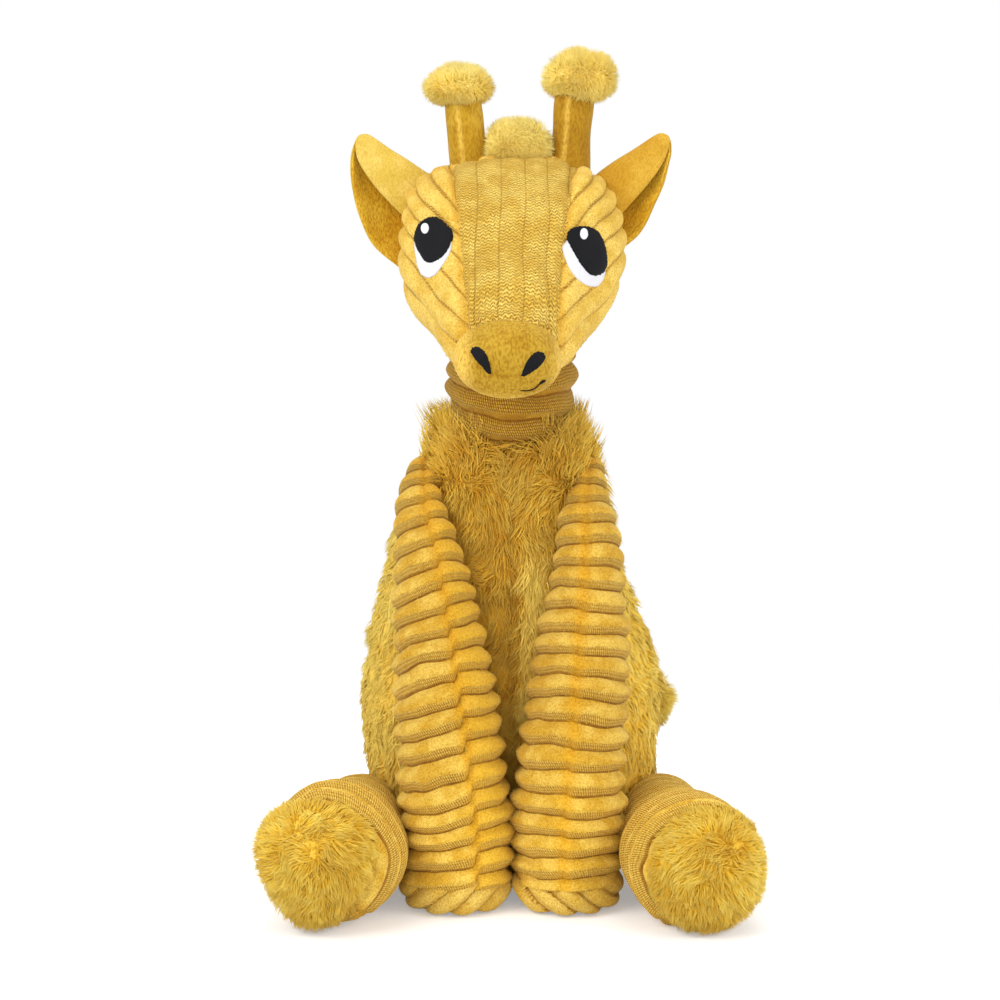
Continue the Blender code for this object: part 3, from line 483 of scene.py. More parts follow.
def zigzag_finish(name):
    """The forehead's cloth: fine zigzag rows of knitting across lengthways ribs."""
    finish = Finish(name, 0.72, 0.3)
    rib, thread = finish.value("rib"), finish.value("thread")
    place = rib.fraction()
    wave = ((rib * (4 * TURN)).sine() * 0.9 + (rib * TURN).sine() * 0.4) * (0.38 * MM)
    fray = finish.uneven(1.8 * MM) * (1.3 * MM)
    rows = ((thread + wave + fray) * (TURN / (1.28 * MM))).wave()
    dots = (thread * (TURN / (0.9 * MM))).wave()
    stitch = (rib * (9 * TURN) + thread * (TURN / (2.1 * MM))).wave()
    valley = (1.0 - place.step(0.0, 0.055)) + place.step(0.945, 1.0)
    worn = finish.uneven(3.5 * MM).step(0.34, 0.60)
    threads = (1.0 - rows.step(0.22, 0.78)) * (stitch * 0.5 + 0.5) * (worn * 0.3 + 0.7)
    colour = finish.mix(finish.uneven(8 * MM).step(0.38, 0.62), (0.78, 0.50, 0.068),
                        (0.92, 0.66, 0.13))
    colour = finish.mix(threads, colour, (0.38, 0.165, 0.008))
    # painted shade: the valleys between the forehead's ribs are darker, with the knit's dots
    # showing through
    colour = finish.mix(valley * (0.75 - dots * 0.6), colour, (0.42, 0.20, 0.012))
    height = rows + finish.uneven(0.5 * MM) * 0.5 - valley * 0.4
    return finish.done(colour, height, 0.6 * MM, 1.0)


def velour_finish(name, pale, deep, size=0.8 * MM, brushed=1.0):
    """Short brushed pile with darker strokes where it lies the other way."""
    finish = Finish(name, 0.7, 0.3)
    pile = finish.uneven(size, 3.0, (1.0, 1.0, 0.45))
    colour = finish.mix(finish.uneven(13 * MM).step(0.36, 0.64), deep, pale)
    # the mesh's pale value: on the muzzle a painted sheen along its lower rim and sides, on the
    # horns their paler seam
    colour = finish.mix(finish.value("pale"), colour, (0.88, 0.60, 0.11))
    colour = finish.mix((1.0 - pile.step(0.34, 0.60)) * brushed, colour,
                        finish.tinted(colour, (0.72, 0.58, 0.36)))
    return finish.done(colour, pile, 0.6 * MM, 0.8 * brushed)


def thread_finish(name, colour, bright, slant):
    """Satin stitch: close shiny threads side by side along one direction."""
    finish = Finish(name, 0.55)
    across = finish.node("VectorMath", {"operation": "DOT_PRODUCT"},
                         {0: finish.node("TexCoord", output=3),
                          1: (math.cos(slant), 0.2, math.sin(slant))}, output=1)
    lay = (across * (TURN / (0.42 * MM))).wave()
    shade = finish.mix(lay * 0.6 + finish.uneven(1.5 * MM) * 0.4, colour, bright)
    return finish.done(shade, lay, 0.12 * MM, 0.6)


def fibre_finish(name, pale, deep):
    """Loose stuffing or plain inner cloth."""
    finish = Finish(name, 0.9)
    curl = finish.uneven(1.2 * MM, 4.0)
    return finish.done(finish.mix(curl.step(0.35, 0.65), deep, pale), curl, 0.8 * MM, 0.9)


GOLD_FUR = fur_finish("gold_long_pile", (0.66, 0.32, 0.012), (0.88, 0.54, 0.040),
                      (0.97, 0.73, 0.15))
# the last number of the pale pile and of the tufts is a painted glow: emission standing in for
# light through the hairs
PALE_FUR = fur_finish("pale_long_pile", (0.74, 0.38, 0.012), (0.93, 0.60, 0.045),
                      (0.98, 0.78, 0.17), 0.03)
TUFT_FUR = fur_finish("tuft_long_pile", (0.90, 0.56, 0.05), (0.97, 0.72, 0.12),
                      (0.99, 0.84, 0.28), 0.12)
CORD = cord_finish("ribbed_plush", ARM_PITCH, 0.56, bead=0.95 * MM)
CHEEK_CORD = cord_finish("cheek_plush", 0.0072, 0.80, shade=0.05, groove_shadow=(0.44, 0.21, 0.016),
                         ridge=((0.85, 0.61, 0.135), (0.75, 0.49, 0.075)))
# the neck's cord is a darker copy of the ribbed plush: painted shade, where the neck lies under the
# head
NECK_SHADED_CORD = cord_finish("neck_plush_painted_shade", NECK_PITCH, 0.20,
                        ridge=((0.50, 0.27, 0.018), (0.40, 0.195, 0.010)),
                        knitted=((0.27, 0.115, 0.005), (0.70, 0.44, 0.055)))
FOREHEAD_KNIT = zigzag_finish("forehead_plush")
# a darker copy of the ear velour for the left ear's back: painted shade
EAR_SHADE = velour_finish("ear_velour_painted_shade", (0.64, 0.38, 0.040), (0.54, 0.29, 0.020), 0.5 * MM,
                          0.55)
EAR_VELOUR = velour_finish("ear_velour", (0.78, 0.57, 0.135), (0.66, 0.46, 0.070), 0.5 * MM, 0.55)
MUZZLE_VELOUR = velour_finish("muzzle_velour", (0.52, 0.32, 0.028), (0.43, 0.245, 0.011))
HORN_VELOUR = velour_finish("horn_velour", (0.57, 0.36, 0.032), (0.46, 0.26, 0.012), brushed=0.8)
# a darker copy of the horn velour for the left horn: painted shade
HORN_SHADE = velour_finish("left_horn_velour", (0.45, 0.25, 0.014), (0.37, 0.19, 0.007),
                           brushed=0.8)
AMBER_VELOUR = velour_finish("amber_velour", (0.72, 0.45, 0.036), (0.60, 0.33, 0.014), 0.6 * MM)
THREADS = {
    "black_thread": thread_finish("black_satin", (0.002, 0.002, 0.003), (0.010, 0.010, 0.012), 0.9),
    "white_thread": thread_finish("white_satin", (0.62, 0.62, 0.66), (0.86, 0.86, 0.88), 0.2),
}
STUFFING = fibre_finish("polyester_fibre", (0.85, 0.85, 0.83), (0.62, 0.62, 0.60))
POUCH_CLOTH = fibre_finish("pellet_pouch_cloth", (0.60, 0.61, 0.62), (0.42, 0.43, 0.45))


def show(mesh, material):
    """Put a mesh in the scene with its finish."""
    made = bpy.data.objects.new(mesh.name, mesh)
    mesh.materials.append(material)
    bpy.context.scene.collection.objects.link(made)
    return made


def dress(mesh, material, body, slot, nodes=()):
    """Show a piece, hang it on its body, and let it stand for its plain solids."""
    piece = show(mesh, material)
    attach(piece, body)
    if nodes:
        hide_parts(*nodes)


def locks_mesh(name, roots, normals, combs, length, width, lift, clump, pull, stray, seed,
               sag=0.35, shade=0.0, pale=0.0):
    """Fur as tapering locks: each is a closed three-sided hair that leans the way the pile lies.

    Neighbouring hairs draw together at their tips. length and lift may differ from hair to hair.
    """
    pick = np.random.default_rng(seed)
    count = len(roots)
    length = np.broadcast_to(length, count) * pick.uniform(0.72, 1.12, count)
    lift = np.broadcast_to(lift, count)[:, None]
    heading = unit(normals * lift + combs * (1 - lift) + pick.normal(size=(count, 3)) * stray)
    steps = np.array((0.0, 0.34, 0.68, 1.0))
    sideways = np.cross(normals, combs) * pick.normal(size=(count, 1)) * 0.55
    bend = unit(combs) * 0.8 - normals * 0.35 - UPRIGHT * 0.25 + sideways
    spine = (roots[:, None] - normals[:, None] * (0.6 * MM)
             + length[:, None, None] * (heading[:, None] * steps[:, None]
                                        + bend[:, None] * (sag * steps ** 2)[:, None]))
    leaders = pick.choice(count, max(count // clump, 1), replace=False)
    tree = KDTree(len(leaders))
    for place, leader in enumerate(leaders):
        tree.insert(roots[leader], place)
    tree.balance()
    nearest = np.array([tree.find(root)[1] for root in roots])
    strength = (pull * pick.uniform(0.6, 1.1, count))[:, None, None] * (steps ** 1.4)[:, None]
    spine = spine + (spine[leaders][nearest] - spine) * strength
    spine[..., 2] = np.maximum(spine[..., 2], 0.6 * MM)
    along = unit(np.gradient(spine, axis=1))
    beside = unit(np.cross(along, normals[:, None] + pick.normal(size=(count, 1, 3)) * 0.3))
    above = np.cross(along, beside)
    girth = width * np.array((0.50, 0.52, 0.30)) * pick.uniform(0.75, 1.2, count)[:, None]
    rings, looks = [], []
    for turn in turns(3):
        out = beside[:, :3] * math.cos(turn) + above[:, :3] * math.sin(turn)
        rings.append(spine[:, :3] + out * girth[..., None])
        looks.append(out * 0.45 + normals[:, None] * 0.75 + heading[:, None] * 0.15)
    rings, looks = (np.stack(item, 2).reshape(count, 9, 3) for item in (rings, looks))
    points = np.concatenate((rings, spine[:, 3:]), 1)
    looks = unit(np.concatenate((looks, (normals + heading * 0.4)[:, None]), 1))
    quads = [(ring + side, ring + over, ring + 3 + over, ring + 3 + side)
             for ring in (0, 3) for side, over in ((0, 1), (1, 2), (2, 0))]
    tips = [(6, 7, 9), (7, 8, 9), (8, 6, 9), (2, 1, 0)]
    base = (np.arange(count) * 10)[:, None, None]
    faces = [(base + np.array(quads)).reshape(-1, 4), (base + np.array(tips)).reshape(-1, 3)]
    tip = np.repeat(steps, (3, 3, 3, 1))[None] + np.broadcast_to(pale, count)[:, None]
    shades = pick.uniform(0.25, 1.0, len(leaders))[nearest] * 0.75 + pick.random(count) * 0.25
    shades = np.clip(shades + shade, 0, 1)
    mesh = raw_mesh(name, points, faces, {"tip": tip, "tone": np.repeat(shades, 10)})
    mesh.normals_split_custom_set_from_vertices(looks.reshape(-1, 3))
    return mesh


def joined(first, second):
    """Two meshes as one, named as the first."""
    pair = [bpy.data.objects.new(mesh.name, mesh) for mesh in (first, second)]
    for item in pair:
        bpy.context.scene.collection.objects.link(item)
    with bpy.context.temp_override(active_object=pair[0], object=pair[0],
                                   selected_objects=pair, selected_editable_objects=pair):
        bpy.ops.object.join()
    mesh = pair[0].data
    bpy.data.objects.remove(pair[0])
    return mesh


def belly_strip(x, y, z, start, end):
    """The strip beside the front seam where the pile stands up; the paler colour that it gives the
    pile is a painted highlight on this raised strip.
    """
    return ((y < 0) * ease(start, 6 * MM, x) * (1 - ease(13 * MM, end, x))
            * ease(0.035, 0.055, z) * (1 - ease(0.125, 0.142, z)))


def belly_shade(x, y):
    """The middle of the belly, which is given painted shade: the shade that the arms throw on it.
    """
    return ease(0.0, 0.03, -y) * ease(0.045, 0.025, np.abs(x))


def sideways_share(x, y):
    """From 0 straight in front of or behind the neck to 1 beside it."""
    return np.abs(x) / np.hypot(x, y)


def torso_grid(rows=110, columns=144):
    """The body's skin: a pear with a seam down the front, and its normals."""
    heights = np.interp(np.linspace(0, 1, rows), (0, 0.06, 0.14, 0.93, 1),
                        (-0.002, 0.0, 0.05, 0.98, 1.02))
    width, depth, setback = smooth(torso_rows[:, 0], torso_rows[:, 1:], heights).T
    angles = turns(columns)
    x = TORSO_SIZE[0] / 2 * width[:, None] * np.sin(angles)
    y = TORSO_SETBACK * setback[:, None] - TORSO_SIZE[1] / 2 * depth[:, None] * np.cos(angles)
    z = np.repeat((TORSO_SIZE[2] * heights)[:, None], columns, 1)
    # slimmer at the left shoulder, a little fuller at the right one
    x = x * np.where(x > 0, 1 - 0.11 * hump(z - 0.116, 0.026), 1 + 0.03 * hump(z - 0.118, 0.030))
    grid = np.stack((x, y, np.maximum(z, 0.4 * MM)), -1)
    seams = np.maximum(hump(x, 2 * MM), hump(y - SIDE_SEAM, 2 * MM))
    grid = plumped(grid, np.maximum(seams, (z < 11 * MM) | (z > 0.172)), 3 * MM)
    out = normals_of(grid, np.array((0.0, TORSO_SETBACK, 0.08)))
    y = grid[..., 1]
    seam = (y < 0) * hump(x, 2.4 * MM) * (z > 12 * MM)
    strip = belly_strip(x, y, z, 2 * MM, 19 * MM)
    lumps = drift(grid, 0.045, 3) * 1.1 * MM + drift(grid, 0.018, 4) * 0.5 * MM
    swell = (strip * 2.6 * MM - seam * 2.2 * MM + lumps) * (z > 6 * MM)
    return grid + out * swell[..., None], out


def build_torso():
    """The body's skin, tucked in at the hem, and its long pile in four panels of two layers."""
    grid, out = torso_grid()
    x, y, z = np.moveaxis(grid, -1, 0)
    tuck = 0.09 * (1 - ease(0.5 * MM, 5 * MM, z))[..., None]
    skin = grid + (np.array((0.0, TORSO_SETBACK, 0.0)) - grid) * tuck * (1, 1, 0)
    # painted shade: the skin under the pile is darker in the belly's middle
    looks = {"tip": 0.75, "tone": 0.70 - 0.50 * belly_shade(x, y)}
    dress(skin_mesh("torso_skin", skin, looks), GOLD_FUR, "torso", "gold_fur", ("seat_panel",))
    collar = np.where(y < -0.012, 0.1775, 0.1805)
    covered = (z > 2 * MM) & (z < collar)
    thick = 1 + 1.6 * (y < -0.015) * ease(0.038, 0.022, np.abs(x))
    for where, lengthways, count in (("front", -1, FRONT_HAIRS), ("back", 1, BACK_HAIRS)):
        for name, side in SIDES:
            panel = "torso_" + where + "_" + name + "_"
            seed = 20 + 2 * side + lengthways
            weight = thick * ((x * side > 0) & ((y - SIDE_SEAM) * lengthways > 0) & covered)
            roots, normals = scatter(grid, out, count, seed, weight)
            dress(torso_pile(panel + "fur", roots, normals, 1.0, 0.60 * MM, seed), GOLD_FUR,
                  "torso", "gold_fur", (panel + "panel",))
            roots, normals = scatter(grid, out, count, seed + 40, weight)
            dress(torso_pile(panel + "underfur", roots, normals, 0.84, 0.52 * MM, seed), GOLD_FUR,
                  "torso", "gold_fur")


def torso_pile(name, roots, normals, trim, width, seed):
    """One layer of pile: short at the hem, long at the collar, in lobes beside the neck."""
    x, y, z = roots.T
    high = ease(0.160, 0.176, z)
    ruffle = np.clip(drift(roots, 0.011, 9), -1, 1)
    lobe = ease(0.163, 0.172, z) * ease(0.30, 0.55, sideways_share(x, y)) * (y < 0.004)
    strip = belly_strip(x, y, z, 3 * MM, 18 * MM)
    seam = (y < 0) * hump(x - 1 * MM, 2.6 * MM)
    flank = ease(0.030, 0.048, np.abs(x)) * ease(0.025, 0.050, z) * (y < 0.012)
    length = (6.6 + 1.0 * ruffle + 3.2 * high) * trim * (0.62 + 0.38 * ease(0.003, 0.026, z))
    length = (length + 3.8 * lobe) * (1 - 0.16 * flank) * MM
    # pale and shade paint light on the pile: the raised strip and the flanks paler, the flank at x
    # < 0 most (painted light), and the front seam's crease and the belly's middle darker (painted
    # shade)
    return locks_mesh(name, roots, normals, torso_comb(roots, normals), length, width,
                      0.46 + 0.16 * ruffle + 0.06 * high, clump=12, pull=0.70, stray=0.34,
                      seed=seed, sag=0.50, pale=strip * 0.5 + flank * np.where(x < 0, 0.35, 0.10),
                      shade=(0.38 + strip * 0.5 + flank * 0.3 - seam * 0.2
                             - 0.70 * belly_shade(x, y)))


def torso_comb(roots, normals):
    """The way the body's pile lies: down and away from the front seam, up and out at the neck."""
    x, y, z = roots.T
    away = np.sign(x) * ease(0.0, 0.02, -y) * (0.10 - 0.70 * ease(0.138, 0.152, z))
    whirl = drift(roots, 0.026, 11) * 0.60
    turn = drift(roots, 0.011, 12) * 0.75
    comb = along_surface(np.stack((away + whirl, turn * 0.5, turn * 0.6 - 1), -1), normals)
    skirt = 0.75 * (1 - ease(0.004, 0.018, z))[:, None]
    comb = unit(comb * (1 - skirt) + unit(stacked(x, y - TORSO_SETBACK, -0.02)) * skirt)
    beside = np.maximum(ease(0.25, 0.55, sideways_share(x, y)), ease(0.0, 0.012, y))
    high = (ease(0.154, 0.166, z) * beside)[:, None]
    return unit(comb * (1 - high) + unit(stacked(x * 0.02, y * 0.1, 0.016)) * high)


def ribbed_grid(line, radii, rows, columns, ahead, pitch, depth, seed, seam=(math.pi, math.pi),
                shift=(0, 0), bow=(0, 0), slant=0.0, blown=False):
    """A soft tube with ribs across it: points, the values that its cloth reads, and how far
    each point lies past the front seam.

    seam is the angle of the front seam from start to end, shift how far the ribs beyond it are
    out of step, bow how far they arch up in front, slant how far they rise to one side.
    """
    angles = turns(columns, -math.pi)
    share, spread = np.linspace(0, 1, len(line)), np.linspace(0, 1, rows)
    path, girth = smooth(share, line, spread), smooth(share, radii, spread)
    reach = np.append(0, np.cumsum(np.linalg.norm(np.diff(path, axis=0), axis=1)))[:, None]
    grid, out = tube_grid(path, girth, angles, ahead)
    girth = girth[:, None]
    seam, step, bend = (np.interp(spread, (0, 1), pair)[:, None] for pair in (seam, shift, bow))
    beyond = (angles - seam + math.pi) % TURN - math.pi
    past = beyond * girth
    if blown:
        ends = np.maximum(ease(0.06, 0.0, spread), ease(0.95, 1.0, spread))[:, None]
        grid = plumped(grid, np.maximum(hump(past, 2 * MM), ends), 1.2 * MM, 3, LIMB_PRESSURE)
    fade = girth / radii.max()
    beyond = ease(-0.05, 0.05, beyond) * (1 - ease(math.pi - 0.25, math.pi - 0.02, beyond))
    wobble = drift(grid, 0.030, seed) * 0.07 + drift(grid, 0.012, seed + 1) * 0.03
    rib = (reach + (bend * np.cos(angles) + slant * np.sin(angles)) * fade) / pitch
    rib = rib + step * beyond + wobble
    place = rib % 1
    plump = 1 + 0.12 * np.sin(np.floor(rib) * 2.4 + seed)
    ridge = np.where(place < CREST, 1 - np.maximum(1 - place / CREST, 0) ** 1.75,
                     1 - (np.maximum(place - CREST, 0) / (1 - CREST)) ** 1.6)
    swell = depth * (ridge * plump - 0.56) * np.clip(fade * 1.15, 0, 1)
    swell = swell - hump(past, 1.6 * MM) * 0.9 * MM + drift(grid, 0.035, seed + 2) * 0.6 * MM
    values = {"rib": rib, "thread": angles * radii.max(), "seam": hump(past, 2.6 * MM)}
    return grid + out * swell[..., None], values, past


def add_fuzz(name, body, grid, seed, weight, length=1.5 * MM):
    """The short pile that stands off ribbed plush and softens its outline."""
    roots, normals = scatter(grid, normals_of(grid, grid.mean((0, 1))), FUZZ_HAIRS, seed, weight)
    combs = along_surface(stirred(roots, 0.010, seed) * 0.8 - UPRIGHT, normals)
    mesh = locks_mesh(name, roots, normals, combs, length, 0.26 * MM, 0.55, clump=6, pull=0.35,
                      stray=0.45, seed=seed, shade=0.3)
    dress(mesh, PALE_FUR, body, "gold_cord_cloth")


def build_arms():
    """Ribbed arms, each with a sewn-in ribbed sole."""
    for name, side in SIDES:
        line = arm_line * (side, 1, 1)
        seam, shift, slant = (-0.28, -0.42), (0, -0.64), -3.0 * MM
        if side > 0:
            line[:, 0] -= left_arm_inset
            seam, shift, slant = (0.18, 0.08), (0, 0.12), -1.0 * MM
        grid, values, past = ribbed_grid(line, ARM_RADIUS * arm_shares, 300, 120, AHEAD, ARM_PITCH,
                                         3.1 * MM, 31 + side, seam, shift, (-4.5 * MM, 4.0 * MM),
                                         slant, blown=True)
        grid[..., 2] = np.maximum(grid[..., 2], 0.5 * MM)
        turned = ease(1 * MM, 3 * MM, -past) * (side < 0)
        values["turned"] = np.maximum(turned, 0.5 * hump(past, 3 * MM))
        # the lower arm reads as low: painted light, and a wider knitted slope
        values["low"] = ease(0.66, 0.92, np.linspace(0, 1, len(grid)))[:, None]
        dress(skin_mesh(name + "_arm_cloth", grid, values), CORD, name + "_arm",
              "gold_cord_cloth", (name + "_arm_sleeve",))
        facing = (grid[..., 1] < line[:, 1].max()) & (grid[..., 2] > 4 * MM)
        add_fuzz(name + "_arm_fuzz", name + "_arm", grid, 35 + side,
                 facing * (0.15 + (values["rib"] % 1 < 0.62)))
        build_sole(name, side, line[-1])


def build_sole(name, side, end):
    """The arm's sole: a rounded pad whose ribs run from front to back."""
    angles, t = turns(128, -math.pi), np.linspace(0, 1, 40)[:, None]
    stops = (0, 0.25, 0.55, 0.80, 1)
    radius = SOLE_RADIUS * smooth(stops, (0.93, 1.03, 0.97, 0.72, 0.02), t[:, 0])[:, None]
    height = smooth(stops, (15.0, 9.5, 3.0, 0.6, 0.5), t[:, 0])[:, None] * MM
    across, depth = np.sin(angles) * radius, -np.cos(angles) * radius
    rib = across + drift(stacked(across, depth, 0), 0.03, 5) * 0.6 * MM + side * height * 1.1
    rib = rib / (10.6 * MM) + (0.5 if side > 0 else 0.3)
    ridge = 1 - np.abs(2 * (rib % 1) - 1) ** 2.2
    swell = 2.6 * MM * (ridge - 0.75) * ease(0.0, 0.25, t) * (1 - ease(0.8, 1, t))
    out = stacked(np.sin(angles), -np.cos(angles), -ease(0.3, 0.9, t) * 0.4)
    grid = stacked(end[0] + across, end[1] + depth, height) + out * swell[..., None]
    grid[..., 2] = np.maximum(grid[..., 2], 0.3 * MM)
    values = {"rib": rib, "thread": depth, "seam": hump(t - 0.02, 0.08) * 0.5}
    dress(skin_mesh(name + "_arm_sole_pad", grid, values), CHEEK_CORD, name + "_arm",
          "gold_cord_cloth", (name + "_arm_sole",))


def build_legs():
    """Ribbed legs that bow a little and end in a furry foot."""
    even = np.linspace(0, 1, 24)
    for name, side in SIDES:
        hip, ankle = HIP * (side, 1, 1), ANKLE * (side, 1, 1)
        heading = unit(ankle - hip)
        start, end = hip - heading * 13 * MM, ankle + heading * 5 * MM
        line = start + (end - start) * leg_stops[:, None]
        sway = ease(0.45, 1.0, leg_stops) ** 1.5 - 0.45 * ease(0.1, 0.6, leg_stops)
        line[:, 0] += 2.4 * side * MM * sway
        if side < 0:
            line = line + np.array((0.6, 0, 2.2)) * MM * ease(0.3, 0.8, leg_stops)[:, None]
        radii = leg_radii * (1.0 if side > 0 else 1.03)
        line, radii = smooth(leg_stops, line, even), smooth(leg_stops, radii, even)
        grid, values, _ = ribbed_grid(line, radii, 170, 120, UPRIGHT, LEG_PITCH, 2.4 * MM,
                                      51 + side, (2.6 * side, 2.6 * side), (0, 0.4),
                                      slant=1.0 * MM, blown=True)
        grid[..., 2] = np.maximum(grid[..., 2], 0.4 * MM)
        # the whole leg reads as partly low: painted light, and a wider knitted slope
        values["low"] = 0.7
        dress(skin_mesh(name + "_leg_cloth", grid, values), CORD, name + "_leg",
              "gold_cord_cloth", (name + "_leg_sleeve",))
        build_foot(name, side, ankle, heading)


def build_foot(name, side, ankle, heading):
    """The foot: a padded dome under long pile that whirls out from its upper middle."""
    rise, angles = np.linspace(-0.40, math.pi / 2, 48)[:, None, None], turns(96)
    heading = unit(heading + np.array((0.40 * side, 0.0, -0.05)))
    ankle = ankle + np.array((4.4 * side, 0.0, -0.6 if side > 0 else 1.2)) * MM
    beside = unit(np.cross(heading, UPRIGHT))
    above = np.cross(beside, heading)
    egg = 0.02 if side > 0 else 0.32
    wide = (FOOT_RADIUS - 1.9 * MM) * (1 + egg * np.sin(angles))
    ring = np.outer(np.cos(angles) * wide, beside) + np.outer(np.sin(angles) * FOOT_RADIUS, above)
    grid = ankle + heading * FOOT_LENGTH * np.sin(rise) + ring * np.cos(rise)
    out = normals_of(grid, ankle)
    grid[..., 2] = np.maximum(grid[..., 2], 0.4 * MM)
    dress(skin_mesh(name + "_foot_pad", grid, {"tip": 0.6, "tone": 0.9}), PALE_FUR,
          name + "_leg", "gold_fur")
    off_floor = np.clip(grid[..., 2] / MM - 1.2, 0, 0.1) * 10
    roots, normals = scatter(grid, out, FOOT_HAIRS, 61 + side, off_floor)
    whorl = ankle + heading * FOOT_LENGTH * 0.8 + above * 14 * MM - np.array((4 * side, 0, 0)) * MM
    away = roots - whorl
    twist = np.cross(np.broadcast_to(heading, away.shape), away) * (0.35 * side)
    combs = along_surface(away + twist + stirred(roots, 0.013, 70) * 5 * MM, normals)
    rim = 1 - ease(-0.1, 0.40, (roots - ankle) @ heading / FOOT_LENGTH)
    combs = unit(combs * (1 - 0.2 * rim[:, None]) - heading * 0.35 * rim[:, None])
    length = (6.4 - 1.2 * rim) * MM * (0.55 + 0.45 * ease(0.001, 0.008, roots[:, 2]))
    mesh = locks_mesh(name + "_foot_fur", roots, normals, combs, length, 0.50 * MM,
                      0.50 - 0.06 * rim, clump=18, pull=0.66, stray=0.36, seed=63 + side)
    dress(mesh, PALE_FUR, name + "_leg", "gold_fur", (name + "_foot_cover",))


def head_frame():
    """The directions along and up the head."""
    cosine, sine = math.cos(HEAD_DROOP), math.sin(HEAD_DROOP)
    return np.array((0.0, -cosine, -sine)), np.array((0.0, -sine, cosine))


def head_grid(rows=210, columns=260):
    """The head's surface before its cloth: points, place along the head and angle from the top."""
    along, upward = head_frame()
    share = np.interp(np.linspace(0, 1, rows), (0, 0.06, 0.94, 1), (-0.062, -0.03, 0.99, 1.008))
    width, height = smooth(head_rows[:, 0], head_rows[:, 1:], share).T[..., None]
    angles, place = turns(columns), HEAD_SIZE[2] * share
    share = share[:, None]
    sine, cosine = np.sin(angles), np.cos(angles)
    skull = ease(0.0, 0.15, share) * (1 - ease(0.50, 0.72, share))
    square = 1 - 0.26 * skull * (cosine > 0)
    jowl = (ease(-0.25, 0.75, -cosine) * 0.20 * ease(0.1, 0.3, share)
            * (1 - ease(0.66, 0.80, share)))
    lip = (cosine < 0) * 0.15 * ease(0.70, 0.85, share)
    x = HEAD_SIZE[0] / 2 * width * np.sign(sine) * np.abs(sine) ** square * (1 - jowl)
    x = x - 1.6 * MM * ease(0.6, 0.9, share)
    up = HEAD_SIZE[1] / 2 * height * np.sign(cosine) * np.abs(cosine) ** square * (1 - lip)
    grid = HEAD_BACK + along * place[:, None, None] + upward * up[..., None] + stacked(x, 0, 0)
    return grid, place, angles, up


def camera_ray(px, py):
    """The direction in which a pixel of the picture looks."""
    right = (px - FRAME_PIXELS / 2) / FOCAL_PIXELS
    up = (FRAME_PIXELS / 2 - py) / FOCAL_PIXELS
    cosine, sine = math.cos(CAMERA_DROP), math.sin(CAMERA_DROP)
    return Vector((right, cosine + up * sine, up * cosine - sine)).normalized()


def eye_share(x, z, centre_x):
    """How deep a place lies in an eye's outline, from 0 outside to 1 well inside."""
    far = np.sqrt(((x - centre_x) / 0.0088) ** 2 + ((z - 0.2500) / 0.0135) ** 2)
    return 1 - ease(0.85, 1.25, far)


